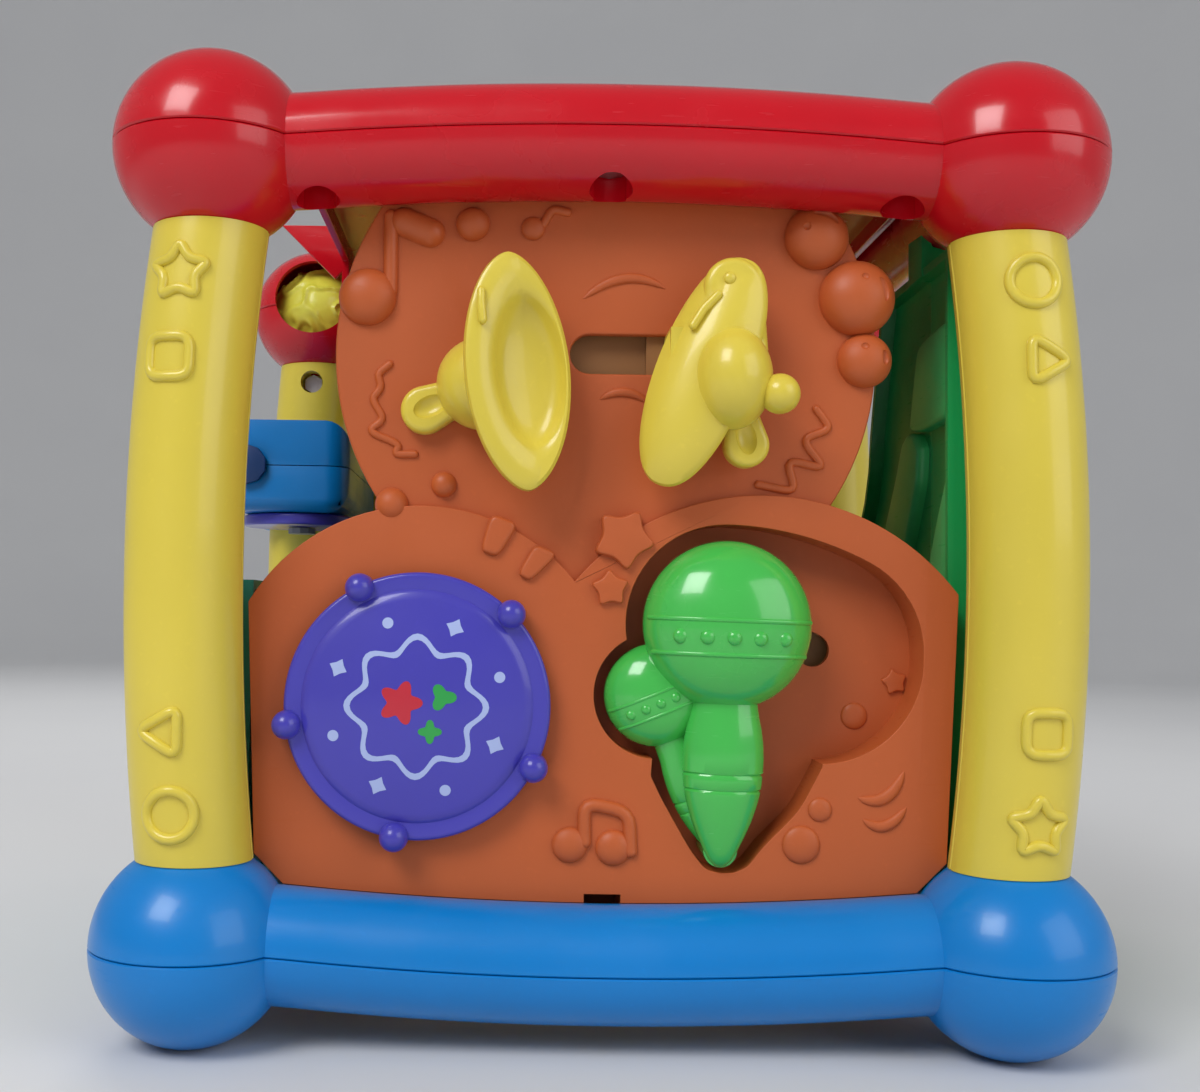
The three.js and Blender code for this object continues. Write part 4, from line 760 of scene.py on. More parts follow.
def big_bean(radius, low, high):
    """The bean that a round thing of this radius sweeps as it swings with the big head."""
    return bean(MARACA_REACH, radius, MARACA_LEAN, MARACA_LEAN + MARACA_SWING, low, high)


def beside_handle(lean, along, across):
    """A point so far along a handle and to the right of its middle line."""
    x, y = swing_point(along, lean)
    return (x + across * math.cos(math.radians(lean)), y - across * math.sin(math.radians(lean)))


def bay_form(grow, low, high):
    """The maracas' bay: room for both heads as they swing, for the handles and for the hub."""
    end = MARACA_LEAN + MARACA_SWING
    big = big_bean(MARACA_HEAD + BAY_MARGIN + grow, low, high)
    room = SMALL_HEAD + SMALL_MARGIN + grow
    small = bean(SMALL_REACH, room, SMALL_LEAN, SMALL_LEAN + MARACA_SWING, low, high)
    sides = [
        beside_handle(end, MARACA_REACH * along, MARACA_REACH * across + grow)
        for along, across in BAY_RIGHT_SHARES
    ]
    spread = 1 + grow / BAY_FOOT_DROP
    sides += [(PIVOT[0] + x * spread, PIVOT[1] + y * spread) for x, y in BAY_FOOT]
    sides += [
        beside_handle(SMALL_LEAN, MARACA_REACH * along, -MARACA_REACH * across - grow)
        for along, across in BAY_LEFT_SHARES
    ]
    outline = flat_line(sides, closed=False)
    for reach, lean in ((SMALL_REACH, SMALL_LEAN), (MARACA_REACH, MARACA_LEAN), (MARACA_REACH, end)):
        outline.append(swing_point(reach, lean))
    last = disc(*swing_point(BAY_END_REACH, end), BAY_END_RADIUS + grow, low, high, 128)
    return joined(big, small, pulled(outline, low, high), last)


def stadium(x0, x1, y0, y1, low, high):
    radius = (y1 - y0) / 2
    middle = (y0 + y1) / 2
    points = [(x1 - radius + dx, middle + dy) for dx, dy in arc(radius, -QUARTER, QUARTER, 16)]
    points += [(x0 + radius + dx, middle + dy) for dx, dy in arc(radius, QUARTER, 1.5 * math.pi, 16)]
    return pulled(points, low, high)


STROKE_RISE = 1.1


def lens(points, width, face, height=STROKE_RISE):
    """A crescent stroke that is widest in its middle."""
    loops = []
    last = len(points) - 1
    for i, (x, y) in enumerate(points):
        x0, y0 = points[max(0, i - 1)]
        x1, y1 = points[min(last, i + 1)]
        length = math.hypot(x1 - x0, y1 - y0)
        nx, ny = -(y1 - y0) / length, (x1 - x0) / length
        share = math.sqrt(max(0.02, 1 - (2 * i / last - 1) ** 2))
        loops.append([
            (x + nx * u * width * share, y + ny * u * width * share, face + v * height * share)
            for u, v in ring_points(0, 0, 1, 12)
        ])
    return lofted(loops)


def bowed_points(*three):
    """Points on a curve through three given ones."""
    start, middle, end = (Vector(point) for point in three)
    control = 2 * middle - (start + end) / 2
    shares = [i / 12 for i in range(13)]
    return [tuple(start.lerp(control, t).lerp(control.lerp(end, t), t)) for t in shares]


def lobes_part():
    """The stepped lower part of the panel with its drum hole and maraca bay."""
    outer = lobe_form(0, HOUSING_BACK, LOBE_FACE)
    inner = lobe_form(WALL, HOUSING_BACK - 2, DISC_FACE - WALL)
    tub = bay_form(WALL, BAY_FLOOR - WALL, LOBE_FACE - 1)
    shell = joined(cut(outer, inner), met(tub, lobe_form(0.2, HOUSING_BACK, LOBE_FACE)))
    form = cut(shell, bay_form(0, BAY_FLOOR, LOBE_FACE + 2), disc(*DRUM_AT, DRUM_HOLE_RADIUS, 70, 110, 96))
    guide = big_bean(GUIDE_RADIUS, BAY_FLOOR - 6, BAY_FLOOR + 2)
    left, right, top = LATCH_NOTCH
    notch = block(left, right, 0.0, top, HOUSING_BACK + WALL, LOBE_FACE + 2)
    form = flattened(cut(form, guide, notch, bar_room(BASE_HEIGHT, -1)))

    def on_rim(edge):
        return at_depth(LOBE_FACE)(edge) and max(point.co.y for point in edge.verts) > PANEL_BOTTOM + 2.4

    return rounded(form, LOBE_ROUND, on_rim, 6)


def disc_part():
    """The round upper part of the panel with the cymbal slot."""
    outer = disc_form(0, HOUSING_BACK, DISC_FACE)
    inner = disc_form(WALL, HOUSING_BACK - 2, DISC_FACE - WALL)
    form = cut(
        outer, inner, stadium(*SLOT, HOUSING_BACK, DISC_FACE + 2),
        disc(*LEFT_PEG, PEG_HOLE_RADIUS, 80, 110, 48), bar_room(TOP_HEIGHT, 1),
        pulled(BEHIND_LOBES, HOUSING_BACK - 1, DISC_FACE + 1),
    )

    def on_rim(edge):
        heights = [point.co.y for point in edge.verts]
        reaches = [math.hypot(point.co.x, point.co.y - DISC_HEIGHT) for point in edge.verts]
        on_circle = all(abs(reach - DISC_RADIUS) < 0.1 for reach in reaches)
        at_hole = max(reaches) < 60.0 and min(heights) > 170.0
        return at_depth(DISC_FACE)(edge) and min(heights) < SEAT_TOP - 0.8 and (on_circle or at_hole)

    return rounded(flattened(form), DISC_ROUND, on_rim, 5)


piece("front_panel", gathered(lobes_part(), disc_part()), "orange", flat=True)
# The backings behind the maraca guide and the cymbal slot are sheets coloured olive-brown as painted shade,
# standing for the dim inside seen through the slots.
piece("guide_backing", big_bean(*GUIDE_BACKING), "slot_painted_shade", flat=True)
piece("slot_backing", stadium(*SLOT_BACKING), "slot_painted_shade", flat=True)


# Raised ornaments of the panel, each with its place, its size and the face that it stands on
ORNAMENT_ROOT = 3.2


def bump(x, y, radius, face, rise):
    return ball(x, y, face, radius, (1, 1, rise))


def raised_star(x, y, radius, face, height=2.2, turn=0.0):
    """A star on a deep root, its rim eased by outlines drawn in towards its middle."""
    outline = flat_line(star_points(0, 0, radius, 0.62, turn), reach=0.36)
    ease = min(1.1, 0.16 * radius)
    loops = [[(x + u, y + v, face - ORNAMENT_ROOT) for u, v in outline]]
    for dx, dz in arc(ease, 0, QUARTER, 5):
        share = 1 - (ease - dx) / radius
        loops.append([(x + u * share, y + v * share, face + height - ease + dz) for u, v in outline])
    return lofted(loops)


def raised_plate(outline, face, height, ease):
    form = pulled(flat_line(outline), face - ORNAMENT_ROOT, face + height)
    return rounded(form, ease, at_depth(face + height))


DIMPLE_SHARE = 0.48
SHINE_SHARE = 0.66
BUBBLE_CUT = 1.25


def bubble(x, y, radius, face, rise, dimple, shine):
    """A bump with a small dimple and a crescent groove, each at its bearing in degrees."""
    def height(share):
        return face + radius * rise * math.sqrt(1 - share**2)

    form = ball(x, y, face, radius, (1, 1, rise), 48)
    angle = math.radians(dimple)
    off = DIMPLE_SHARE * radius
    at = (x + off * math.cos(angle), y + off * math.sin(angle), height(DIMPLE_SHARE) + 0.5)
    groove = arc(SHINE_SHARE * radius, math.radians(shine[0]), math.radians(shine[1]), 12)
    groove = [(x + dx, y + dy) for dx, dy in groove]
    crescent = lens(groove, BUBBLE_CUT, height(SHINE_SHARE) + 0.1, BUBBLE_CUT)
    return cut(form, ball(*at, BUBBLE_CUT), crescent)


def stroke(points, radius, face):
    return bead(softened_line([(x, y, face) for x, y in points]), radius)


ornaments = [
    bump(-66.7, 203.2, 8.1, DISC_FACE, 0.62),
    stroke([(-60.4, 205.0), (-60.6, 226.0)], 2.1, DISC_FACE),
    stroke([(-57.0, 224.6), (-49.5, 221.6)], 4.4, DISC_FACE - 1.0),
    bump(-37.7, 224.2, 4.8, DISC_FACE, 0.8),
    bump(-20.8, 223.3, 3.4, DISC_FACE, 0.6),
    stroke([(-18.0, 224.5), (-15.5, 229.0), (-11.2, 228.0)], 1.3, DISC_FACE),
    lens(bowed_points((-6.5, 203.7), (5.0, 209.6), (16.4, 206.9)), 1.5, DISC_FACE),
    lens(bowed_points((-1.5, 175.5), (5.5, 177.6), (12.6, 174.4)), 1.3, DISC_FACE),
    stroke([
        (-60.2, 184.4), (-63.5, 181.6), (-62.3, 177.9), (-65.0, 174.5), (-61.3, 169.0), (-65.9, 165.5),
        (-56.9, 162.0), (-58.3, 159.2), (-52.7, 159.3),
    ], 1.15, DISC_FACE),
    stroke([
        (42.6, 152.4), (53.2, 150.4), (50.4, 159.6), (61.5, 156.9), (54.5, 165.2), (62.9, 168.2),
        (58.7, 173.7),
    ], 1.2, DISC_FACE),
    bump(-44.5, 151.0, 3.6, DISC_FACE, 0.9),
    bump(-58.8, 145.2, 4.7, DISC_FACE, 0.9),
    bubble(58.5, 221.8, 9.0, DISC_FACE, 0.75, 155, (28, 108)),
    bubble(69.8, 204.9, 10.6, DISC_FACE, 0.75, 80, (-16, 44)),
    bubble(72.0, 187.4, 7.6, DISC_FACE, 0.75, 105, (-20, 30)),
    raised_star(5.3, 136.6, 9.2, LOBE_FACE, turn=-0.5),
    raised_star(1.8, 122.9, 5.6, LOBE_FACE, 1.8, 0.08),
    stroke([(-4.4, 54.0), (-4.7, 64.6), (7.6, 62.2), (8.2, 51.6)], 1.9, LOBE_FACE),
    bump(-8.4, 53.1, 4.9, LOBE_FACE, 0.5),
    bump(3.4, 52.5, 4.9, LOBE_FACE, 0.5),
    bump(59.6, 63.6, 3.3, LOBE_FACE, 0.4),
    bump(54.5, 54.1, 5.2, LOBE_FACE, 0.35),
    lens(bowed_points((70.0, 67.0), (77.3, 67.1), (82.5, 74.2)), 1.7, LOBE_FACE),
    lens(bowed_points((71.4, 61.1), (77.4, 59.5), (83.1, 64.5)), 1.6, LOBE_FACE),
    raised_plate([(-31.2, 143.1), (-23.5, 140.2), (-29.1, 130.9), (-34.2, 132.6)], LOBE_FACE, 1.7, 1.2),
    raised_plate([(-19.0, 134.9), (-12.6, 132.1), (-20.2, 124.4), (-23.8, 126.4)], LOBE_FACE, 1.7, 1.2),
    raised_star(83.5, 98.0, 4.0, BAY_FLOOR, 1.2, 0.2),
    bump(72.2, 88.2, 3.8, BAY_FLOOR, 0.35),
]
piece("front_panel_ornaments", gathered(*ornaments), "orange", flat=True)


# Drum

DRUM_RIM = 36.0
DRUM_FACE = 110.0
DRUM_BACK = 106.8
DOME_RADIUS = 30.4
DOME_EDGE = 110.5
DOME_RISE = 3.1
SKIRT_RADIUS = 29.5
SKIRT_INSIDE = 27.0
STEM_RADIUS = 3.5
STEM_END = 88.0
LUG_RADIUS = 3.9
LUG_REACH = 35.4


def dome_height(off):
    """Depth of the drum's dome at a distance from its middle."""
    return DOME_EDGE + DOME_RISE * (1 - (off / DOME_RADIUS) ** 2)


def drum_form():
    """The drum with its dome, rim, skirt, stem and five lugs."""
    profile = [(DOME_RADIUS * i / 16, dome_height(DOME_RADIUS * i / 16)) for i in range(17)]
    profile += [(DOME_RADIUS + 0.9, DRUM_FACE - 0.25), (DOME_RADIUS + 1.8, DRUM_FACE - 0.2)]
    profile += [(DRUM_RIM - 1.4, DRUM_FACE)]
    profile += [(DRUM_RIM - 1.2 + x, DRUM_FACE - 1.2 + z) for x, z in arc(1.2, QUARTER, 0, 5)]
    profile += [(DRUM_RIM, DRUM_BACK + 0.8), (DRUM_RIM - 0.8, DRUM_BACK), (SKIRT_RADIUS, DRUM_BACK)]
    profile += [(SKIRT_RADIUS, DRUM_BACK - 11), (SKIRT_INSIDE, DRUM_BACK - 11), (SKIRT_INSIDE, 105.0)]
    profile += [(STEM_RADIUS, 107.0), (STEM_RADIUS, STEM_END), (0, STEM_END)]
    lug = [(0, LUG_RADIUS + 1.3)]
    lug += [(x, 1.3 + z) for x, z in arc(LUG_RADIUS, QUARTER, 0, 8)[1:]]
    lug += [(LUG_RADIUS, -3.0), (0, -3.0)]
    lugs = []
    for i in range(5):
        angle = math.radians(45 + 72 * i)
        place = (LUG_REACH * math.cos(angle), LUG_REACH * math.sin(angle), DRUM_BACK + 2.6)
        lugs.append(moved(turned(lug, 32), Matrix.Translation(place)))
    return moved(joined(turned(profile, 128), *lugs), Matrix.Translation((*DRUM_AT, 0)))


piece("drum_head", drum_form(), "purple", "drum", flat=True)

INK_TOP = 0.06
INK_ROOT = -0.04


def printed(outline, hole=()):
    """A film of ink on the drum's dome, over an outline about the drum's middle."""
    form = bmesh.new()
    edges = []
    for loop in (outline, hole):
        line = [form.verts.new((x, y, 0)) for x, y in loop]
        edges += [form.edges.new((line[i - 1], line[i])) for i in range(len(line))]
    bmesh.ops.triangle_fill(form, use_beauty=True, use_dissolve=False, edges=edges)
    for _ in range(3):
        long_edges = [edge for edge in form.edges if edge.calc_length() > 2.0]
        bmesh.ops.subdivide_edges(form, edges=long_edges, cuts=1, use_grid_fill=False)
        bmesh.ops.triangulate(form, faces=form.faces)
    top = set(grown_points(form, form.faces[:]))
    for point in form.verts:
        point.co.z = dome_height(point.co.xy.length) + (INK_TOP if point in top else INK_ROOT)
    bmesh.ops.translate(form, verts=form.verts, vec=(*DRUM_AT, 0))
    return tidied(form)


def petals(radius, wave, count=8, x=0.0, y=0.0):
    """A closed wavy line."""
    points = []
    for i in range(96):
        angle = math.tau * i / 96
        reach = radius + wave * math.cos(count * angle)
        points.append((x + reach * math.cos(angle), y + reach * math.sin(angle)))
    return points


def around(radius, first):
    """Four points at equal steps about the drum's middle, each with its bearing."""
    bearings = [math.tau * i / 4 + first for i in range(4)]
    return [(radius * math.cos(bearing), radius * math.sin(bearing), bearing) for bearing in bearings]


def print_piece(name, finish, *forms):
    piece(name, gathered(*forms), finish, "drum", flat=True)


print_piece(
    "drum_print_ring", "light_blue",
    printed(petals(17.6, 1.9), hole=petals(15.9, 1.9)),
    *(printed(ring_points(x, y, 1.5, 20)) for x, y, _ in around(23.6, 0.35)),
    *(printed(star_points(x, y, 2.6, 0.62, bearing, 4)) for x, y, bearing in around(23.4, 1.13)),
)
print_piece("drum_print_red", "ink_red", printed(petals(4.8, 1.2, 5, -4.2, 1.0)))
print_piece(
    "drum_print_green", "ink_green",
    printed(petals(2.9, 0.9, 3, 7.0, 2.6)), printed(petals(2.5, 0.7, 4, 3.8, -6.6)),
)


# Cymbals

ON_DISC = DISC_FACE + GAP


def leaf_loop(point, half_width, half_height, depth, shift=0.0):
    """A leaf-shaped outline. Above 1, the first value makes its ends more pointed."""
    loop = []
    for across, along in ring_points(0, 0, 1, 72):
        across = math.copysign(abs(across) ** point, across)
        loop.append((shift + half_width * across, half_height * along, depth))
    return loop


def dish(rows, turn, lean, x, y, stand, point=1.18):
    """A leaf-shaped plate over rows of half width, half height, depth and shift."""
    place = Matrix.Translation((x, y, ON_DISC + stand)) @ Matrix.Rotation(math.radians(lean), 4, "Z")
    place = place @ Matrix.Rotation(math.radians(turn), 4, "Y")
    return moved(lofted([leaf_loop(point, *row) for row in rows]), place)


STRAP_THICKNESS = 5.0


def strap(x, y, radius, to_x, to_y, stand):
    """A teardrop loop with a hollow in its round end, rising towards its boss."""
    low = ON_DISC + stand
    high = low + STRAP_THICKNESS
    angle = math.atan2(to_y - y, to_x - x)
    length = math.hypot(to_x - x, to_y - y)
    neck = radius * 0.52
    start = math.acos((radius - neck) / length)
    outline = arc(radius, start, math.tau - start, 28)
    outline += [(length + dx, dy) for dx, dy in arc(neck, -start, start, 8)]
    form = rounded(pulled(outline, low, high), 1.9, at_depth(high), 5)
    hollow_size = (0.36 * radius + 0.16 * length, 0.48 * radius, 2.7)
    hollow = ball(0.1 * length, 0, high + 0.9, 1.0, hollow_size)
    place = Matrix.Translation((x, y, 0)) @ Matrix.Rotation(angle, 4, "Z")
    return cut(moved(form, place), moved(hollow, place))


LEFT_BOSS = (-34.0, 178.5)
RIGHT_BOSS = (33.0, 179.5)
RIGHT_END_RADIUS = 8.0
RIGHT_END_BACK = ON_DISC + 10.6
RIGHT_END_FRONT = ON_DISC + 16.2


def left_cymbal_form():
    """A leaf-shaped dish with a broad left flange and its hollow towards the right."""
    place = (16, 6, *LEFT_PEG, 15)
    plate = dish([
        (9.2, 21.0, -6.5, 0.6), (13.2, 29.6, -2.6, 0.2), (14.4, 31.8, -1.0), (14.7, 32.4, 0.6),
        (14.4, 32.1, 1.9), (13.3, 30.8, 2.7, 0.1), (11.3, 26.2, 2.5, 1.7), (10.2, 22.4, 1.9, 2.8),
        (9.6, 20.8, 0.9, 3.3), (9.1, 19.6, -0.8, 3.6), (8.2, 17.6, -2.5, 3.9), (6.4, 13.8, -3.7, 4.0),
        (2.6, 5.6, -4.3, 4.0),
    ], *place)
    room = dish([
        (13.4, 30.6, 40.0, 0.1), (13.4, 30.6, 1.2, 0.1), (9.8, 21.4, 0.0, 3.2), (8.0, 17.2, -3.6, 3.9),
        (2.4, 5.2, -5.4, 4.0),
    ], *place)
    boss = ball(*LEFT_BOSS, ON_DISC + 5, 12.8, segments=48)
    stand = disc(*LEFT_PEG, 8.0, ON_DISC - 0.2, ON_DISC + 11, 48)
    carriers = cut(joined(boss, stand, strap(-50.0, 171.3, 6.6, *LEFT_BOSS, 0)), room)
    body = cut(joined(plate, carriers), block(-100, 100, 100, 260, 60, ON_DISC))
    nub = bead([
        (-34.6, 201.0, ON_DISC + 19.9), (-34.5, 197.3, ON_DISC + 20.7), (-34.0, 193.0, ON_DISC + 20.7),
    ], 1.15)
    return gathered(body, nub)


def right_cymbal_form():
    """A leaf seen from its back: a boss, a knob and a strap on a thin plate with a round upper end."""
    plate = dish([
        (11.2, 29.2, -2.6), (12.4, 32.0, -1.9), (13.0, 33.0, -0.6), (12.7, 32.6, 0.7), (11.2, 30.8, 1.9),
        (8.4, 25.4, 3.9), (5.2, 17.0, 5.4), (2.0, 8.0, 6.0),
    ], -16, -20.5, 25.3, 181.6, 13, 0.88)
    top = arc(RIGHT_END_RADIUS, 0.05, math.pi + 0.05, 24)
    foot = arc(RIGHT_END_RADIUS, math.pi + 0.05, math.tau + 0.05, 24)
    outline = [(33.2 + x, 204.3 + y) for x, y in top] + [(34.6 + x, 187.0 + y) for x, y in foot]
    end = pulled(outline, RIGHT_END_BACK, RIGHT_END_FRONT)
    rounded(end, 2.2, lambda edge: at_depth(RIGHT_END_FRONT)(edge) or at_depth(RIGHT_END_BACK)(edge), 5)
    boss = ball(*RIGHT_BOSS, ON_DISC + 14.5, 12.2, (0.88, 1.14, 1), 48)
    knob = ball(44.9, 174.8, ON_DISC + 19, 5.4)
    neck = block(16.5, 36.5, 183.1, 193.3, 98.9, ON_DISC + 14)
    body = joined(plate, end, boss, knob, neck, strap(37.6, 162.2, 6.2, 34.0, 179.0, 7))
    nub = bead([
        (28.6, 201.6, ON_DISC + 17.3), (24.6, 197.4, ON_DISC + 17.6), (21.9, 193.0, ON_DISC + 17.4),
    ], 1.2)
    return gathered(body, nub, ball(31.8, 206.2, ON_DISC + 16.6, 1.7, (1, 1, 0.6), 16))


piece("left_cymbal", left_cymbal_form(), "yellow", flat=True)
piece("right_cymbal", right_cymbal_form(), "yellow", "right_cymbal", flat=True)


# Maracas

FLATNESS = 0.62
MARACA_DEPTH = BAY_FLOOR + 2 * GAP + MARACA_HEAD * FLATNESS
HUB_RADIUS = 4.6
GUIDE_BOSS_RADIUS = 3.7
# Radius and place along the big maraca's handle, from its foot up to its head, with two grooves
HANDLE = (
    (0, -4.5), (1.6, -4.1), (3.2, -2.4), (4.6, 0), (6.5, 4), (8.2, 8), (9.5, 12), (10.3, 15.2),
    (10.45, 16.0), (10.0, 16.5), (10.6, 17.0), (10.8, 19.0), (10.9, 20.2), (10.4, 20.8), (11.0, 21.3),
    (11.1, 25.0), (10.9, 29.0), (10.3, 33.0), (9.5, 36.5),
)
HEAD_MOUTH = 9.0


def maraca(reach, head, lean, depth, share):
    """A flattened head on a tapering handle, the handle's girth by a share of the big one's."""
    grow = reach / MARACA_REACH
    points = [(radius * share, along * grow) for radius, along in HANDLE]
    start = -QUARTER + math.asin(HEAD_MOUTH * share / head)
    points += [(radius, reach + along) for radius, along in arc(head, start, QUARTER, 26)]
    points[-1] = (0, reach + head)
    place = Matrix.Translation((*PIVOT, depth)) @ Matrix.Rotation(math.radians(-lean), 4, "Z")
    upright = Matrix.Rotation(-QUARTER, 4, "X")
    return moved(turned(points, 72), place @ Matrix.Diagonal((1, 1, FLATNESS, 1)) @ upright)


def head_bands(reach, radius, lean, depth, size):
    """Two raised bands across a head with a row of dots between them."""
    centre = Vector(swing_point(reach, lean))
    right = Vector((math.cos(math.radians(lean)), -math.sin(math.radians(lean))))
    ahead = Vector((-right.y, right.x))

    def spot(across, along, sunk):
        rise = FLATNESS * radius * math.sqrt(max(0.0, 1 - across**2 - along**2))
        return (*(centre + radius * (across * right + along * ahead)), depth + rise - sunk)

    forms = []
    for along in (-0.34, 0.06):
        reach_across = 0.94 * math.sqrt(1 - along**2)
        line = [spot(reach_across * (i / 20 - 1), along, 0.4 * size) for i in range(41)]
        forms.append(bead(line, 0.75 * size))
    for i in range(5):
        forms.append(ball(*spot(0.3 * (i - 2), -0.14, 0.5 * size), 2.1 * size, (1, 1, 0.7), 20))
    return forms


def maracas_form():
    small_depth = MARACA_DEPTH - 5.0
    big = maraca(MARACA_REACH, MARACA_HEAD, MARACA_LEAN, MARACA_DEPTH, 1)
    small = maraca(SMALL_REACH, SMALL_HEAD, SMALL_LEAN, small_depth, SMALL_HEAD / MARACA_HEAD)
    hub = disc(*PIVOT, HUB_RADIUS, BAY_FLOOR + GAP, MARACA_DEPTH, 40)
    guide = swing_point(MARACA_REACH, MARACA_LEAN)
    boss = disc(*guide, GUIDE_BOSS_RADIUS, BAY_FLOOR - WALL - GAP, MARACA_DEPTH, 32)
    body = joined(big, small, hub, boss)
    details = head_bands(MARACA_REACH, MARACA_HEAD, MARACA_LEAN, MARACA_DEPTH, 1.0)
    details += head_bands(SMALL_REACH, SMALL_HEAD, SMALL_LEAN, small_depth, 0.68)
    return gathered(body, *details)


piece("maracas", maracas_form(), "green", "maracas", flat=True)


# Roller ball

ROLLER_RADIUS = 19.2
FOLD_RISE = 1.2


def roller_form():
    """A ball whose skin has wandering soft folds."""
    form = bmesh.new()
    bmesh.ops.create_icosphere(form, subdivisions=6, radius=1.0)
    for point in form.verts:
        spot = point.co.copy()
        fold = 1 - min(1.0, abs(noise.noise(2.3 * spot + Vector((3.0, 1.0, 7.0)))) / 0.24)
        fine = noise.noise(6.0 * spot)
        point.co = spot * (ROLLER_RADIUS + FOLD_RISE * fold * fold * (3 - 2 * fold) + 0.12 * fine)
    return moved(form, Matrix.Translation(CAGE))


piece("roller_ball", roller_form(), "lime", "roller_ball")


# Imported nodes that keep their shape, with their edges eased

def copy_of(node):
    """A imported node's shape in millimetres, its triangles joined."""
    form = bmesh.new()
    form.from_mesh(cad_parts[node].data)
    form.transform(Matrix.Scale(1 / MM, 4))
    bmesh.ops.remove_doubles(form, verts=form.verts, dist=0.01)
    return form


def eased(form, radius):
    """The form with all its sharp edges rounded."""
    return rounded(flattened(form, 1.0), radius, segments=3)


def leaf_line(inset):
    """The right panel's outline in y and z, as its solid has it, with its upper back corner cut away."""
    side = 93.0 - inset
    waist = -6.0 - inset
    top = 222.0 - inset
    shoulder = 118.0 - inset
    controls = [(side, shoulder), (-6.0 + side * 0.45, shoulder), (waist, 148.0), (waist, 178.0)]
    points = [(-side, 47.2), (side, 47.2)]
    for i in range(9):
        t = i / 8
        weights = ((1 - t) ** 3, 3 * t * (1 - t) ** 2, 3 * t * t * (1 - t), t**3)
        points.append(tuple(sum(w * control[k] for w, control in zip(weights, controls)) for k in (0, 1)))
    return points + [(-21.0 - inset, top), (-side, top)]


SIDEWAYS = Matrix(((0, 0, 1, 0), (1, 0, 0, 0), (0, 1, 0, 0), (0, 0, 0, 1)))
LEAF_INSIDE = 102.5


def on_leaf(rise, ease, *outline):
    """A raised field on the inside of the right panel, over an outline in y and z."""
    form = pulled(flat_line(outline, reach=0.25), LEAF_INSIDE - rise, LEAF_INSIDE + 0.2)
    return moved(rounded(form, ease, at_depth(LEAF_INSIDE - rise)), SIDEWAYS)


def right_leaf_form():
    """The right panel without the fields that its solid has inside."""
    fields = moved(pulled(leaf_line(2.6), 90.0, LEAF_INSIDE - 0.05), SIDEWAYS)
    return eased(cut(copy_of("right_panel"), fields), 0.6)


def leaf_fields_form():
    upper = on_leaf(
        3.2, 2.0,
        (-89, 174.0), (-59.2, 173.2), (-48.1, 175.0), (-52.5, 188.2), (-57.5, 201.0), (-89, 203.0),
    )
    lower = on_leaf(
        2.8, 1.6,
        (-89, 60.0), (-42.0, 60.0), (-68.5, 132.6), (-77.0, 145.9), (-86.0, 157.7), (-89, 160.5),
    )
    middle = on_leaf(
        3.6, 2.2,
        (-41.0, 172.0), (-33.6, 161.1), (-20.5, 146.0), (12.0, 96.0), (-14.0, 96.0), (-46.1, 138.5),
        (-58.5, 157.0), (-60.5, 168.0), (-55.0, 173.2), (-47.0, 174.6),
    )
    return gathered(upper, lower, middle)


piece("right_panel", right_leaf_form(), "leaf_green", crease=32)
# The raised fields take a lighter copy of the leaf green as painted light, for the light that they catch.
piece("right_panel_fields", leaf_fields_form(), "leaf_painted_light")

BRACKET_INSIDE = -83.0
BRACKET_FOOT = 150.0


def bracket_half(node):
    """Half of the bracket, its front upright corner and lower edge well rounded."""
    outline = block(-128.0, BRACKET_INSIDE, 0.0, 160.0, BRACKET_FOOT, 190.0)

    def on_corner(edge):
        return all(abs(p.co.y) < 0.01 and abs(p.co.x - BRACKET_INSIDE) < 0.01 for p in edge.verts)

    rounded(outline, 8.5, on_corner, 10)
    rounded(outline, 5.0, at_depth(BRACKET_FOOT), 8)
    clamp_room = block(-180.0, BRACKET_INSIDE, 60.0, 200.0, 140.0, 200.0)
    return eased(met(copy_of(node), joined(outline, clamp_room)), 0.5)


for node in ("left_bracket_upper", "left_bracket_lower"):
    piece(node, bracket_half(node), "blue", crease=32)

for node, finish, radius in (
    ("top_panel", "red", 0.6), ("back_panel", "yellow", 0.6), ("left_panel", "teal", 0.6),
    ("left_bracket_cap", "navy", 0.5),
):
    piece(node, eased(copy_of(node), radius), finish, crease=32)
piece("left_spinner", eased(copy_of("left_spinner"), 0.8), "purple", "left_spinner", 32)

SHEET_FACE = 105.5
BORDER_HALF_WIDTH = 80.0
BORDER_FOOT = 56.0
BORDER_CORNER = 16.0
BORDER_RADIUS = 1.3


def border(top):
    """A raised line inside the rim of a side panel, drawn as if the panel stood at the front."""
    side = BORDER_HALF_WIDTH - BORDER_CORNER
    head = top - BORDER_CORNER
    foot = BORDER_FOOT + BORDER_CORNER
    line = []
    for k, (x, y) in enumerate(((side, head), (-side, head), (-side, foot), (side, foot))):
        bend = arc(BORDER_CORNER, k * QUARTER, (k + 1) * QUARTER, 8)
        line += [(x + dx, y + dy, SHEET_FACE) for dx, dy in bend]
    return moved(bead(line, BORDER_RADIUS, True), STANDING)


for panel, finish, top in (("back", "yellow", 216.0), ("left", "teal", 113.0)):
    turn = Matrix.Rotation(BAR_TURNS[panel], 4, "Z")
    piece(f"{panel}_panel_border", moved(border(top), turn), finish)

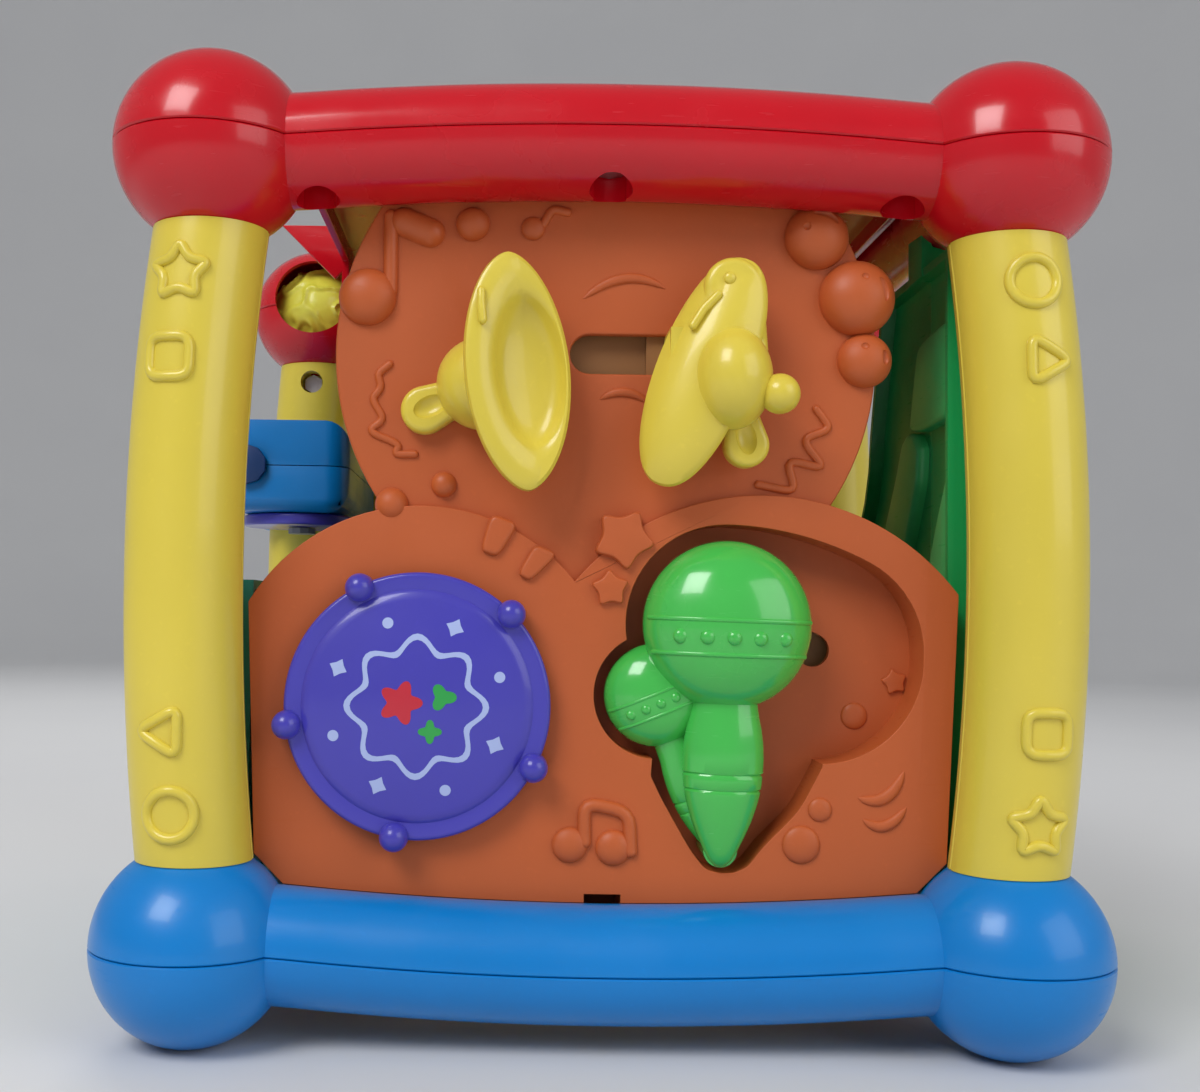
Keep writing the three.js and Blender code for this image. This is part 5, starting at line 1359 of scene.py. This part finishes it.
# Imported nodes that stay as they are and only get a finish
KEPT = {
    "grey": (
        "front_rear_cover", "battery_door", "drum_switch", "maraca_guide_clip", "maraca_pivot_pin",
        "left_spinner_axle", "roller_axle",
    ),
    # The cymbal slider is coloured olive-brown as painted shade, for yellow plastic in the shadow behind
    # its slot.
    "slot_painted_shade": ("cymbal_slider",),
    "board": ("sound_board",),
    "cell": ("speaker", "battery_1", "battery_2"),
    "steel": ("drum_spring", *(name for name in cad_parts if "screw" in name)),
}
for finish, names in KEPT.items():
    for name in names:
        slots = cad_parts[name].data.materials
        slots.clear()
        slots.append(FINISHES[finish])


# Floor, light and camera, in metres

FLOOR_FLAT = 2.6
FLOOR_BEND = 1.3
WALL_TOP = 3.2
LIGHTS_AIM = Vector((0, 0, 0.13))


def make_floor():
    """A pale floor that bends up into a round wall."""
    bowl = [(0, 0), (FLOOR_FLAT, 0)]
    bowl += [(FLOOR_FLAT + x, FLOOR_BEND + z) for x, z in arc(FLOOR_BEND, -QUARTER, 0, 16)[1:]]
    form = turned(bowl + [(FLOOR_FLAT + FLOOR_BEND, WALL_TOP)], 96)
    if sum(face.normal.z * face.calc_area() for face in form.faces) < 0:
        bmesh.ops.reverse_faces(form, faces=form.faces)
    mesh = mesh_of(form, "floor")
    mesh.polygons.foreach_set("use_smooth", [True] * len(mesh.polygons))
    pale = Finish("pale_floor")
    grain = pale.noise(3.0, 2.0)
    shade = pale.mixed(grain, (0.66, 0.66, 0.67, 1), (0.71, 0.71, 0.71, 1))
    pale.feed(pale.shader.inputs["Base Color"], shade)
    pale.shader.inputs["Roughness"].default_value = 0.7
    mesh.materials.append(pale.material)
    placed(mesh, "floor")


def make_lights():
    """Three soft lamps over a dim even sky that glossy surfaces see darker."""
    for name, place, size, power, glossy in (
        ("key_light", (-0.9, -1.3, 1.5), 0.9, 24.0, True),
        ("fill_light", (1.3, -1.1, 0.8), 1.2, 9.0, True),
        ("back_light", (-0.4, 1.2, 1.5), 1.2, 9.0, False),
    ):
        lamp = bpy.data.lights.new(name, "AREA")
        lamp.size = size
        lamp.energy = power
        thing = placed(lamp, name)
        thing.location = place
        thing.rotation_mode = "QUATERNION"
        thing.rotation_quaternion = (LIGHTS_AIM - Vector(place)).to_track_quat("-Z", "Y")
        thing.visible_glossy = glossy
    world = bpy.data.worlds.new("studio")
    bpy.context.scene.world = world
    world.use_nodes = True
    tree = world.node_tree
    rays = tree.nodes.new("ShaderNodeLightPath")
    level = tree.nodes.new("ShaderNodeMapRange")
    level.inputs["To Min"].default_value = 0.5
    level.inputs["To Max"].default_value = 0.22
    tree.links.new(rays.outputs["Is Glossy Ray"], level.inputs["Value"])
    tree.links.new(level.outputs[0], tree.nodes["Background"].inputs["Strength"])
    tree.nodes["Background"].inputs["Color"].default_value = (0.95, 0.97, 1.0, 1)


# Where the photograph was taken from, and how the camera was turned, in radians
CAMERA_AT = (-0.02615, -0.4919, 0.1159)
YAW = -2.2e-3
PITCH = 5.32e-2
ROLL = -1.58e-2


def make_camera():
    turn = Matrix.Rotation(YAW, 3, "Z") @ Matrix.Rotation(PITCH, 3, "X") @ Matrix.Rotation(ROLL, 3, "Y")
    right, ahead, up = (turn.col[i] for i in range(3))
    camera = placed(bpy.data.cameras.new("camera"), "camera")
    basis = Matrix((right, up, -ahead)).transposed().to_4x4()
    camera.matrix_world = Matrix.Translation(CAMERA_AT) @ basis
    camera.data.sensor_width = 36.0
    camera.data.lens = 42.4
    camera.data.shift_x = 0.0731
    camera.data.shift_y = -0.0073
    camera.data.clip_start = 0.01
    camera.data.clip_end = 20.0
    bpy.context.scene.camera = camera


make_floor()
make_lights()
make_camera()
bpy.context.scene.view_settings.view_transform = "Standard"

bpy.context.view_layer.update()
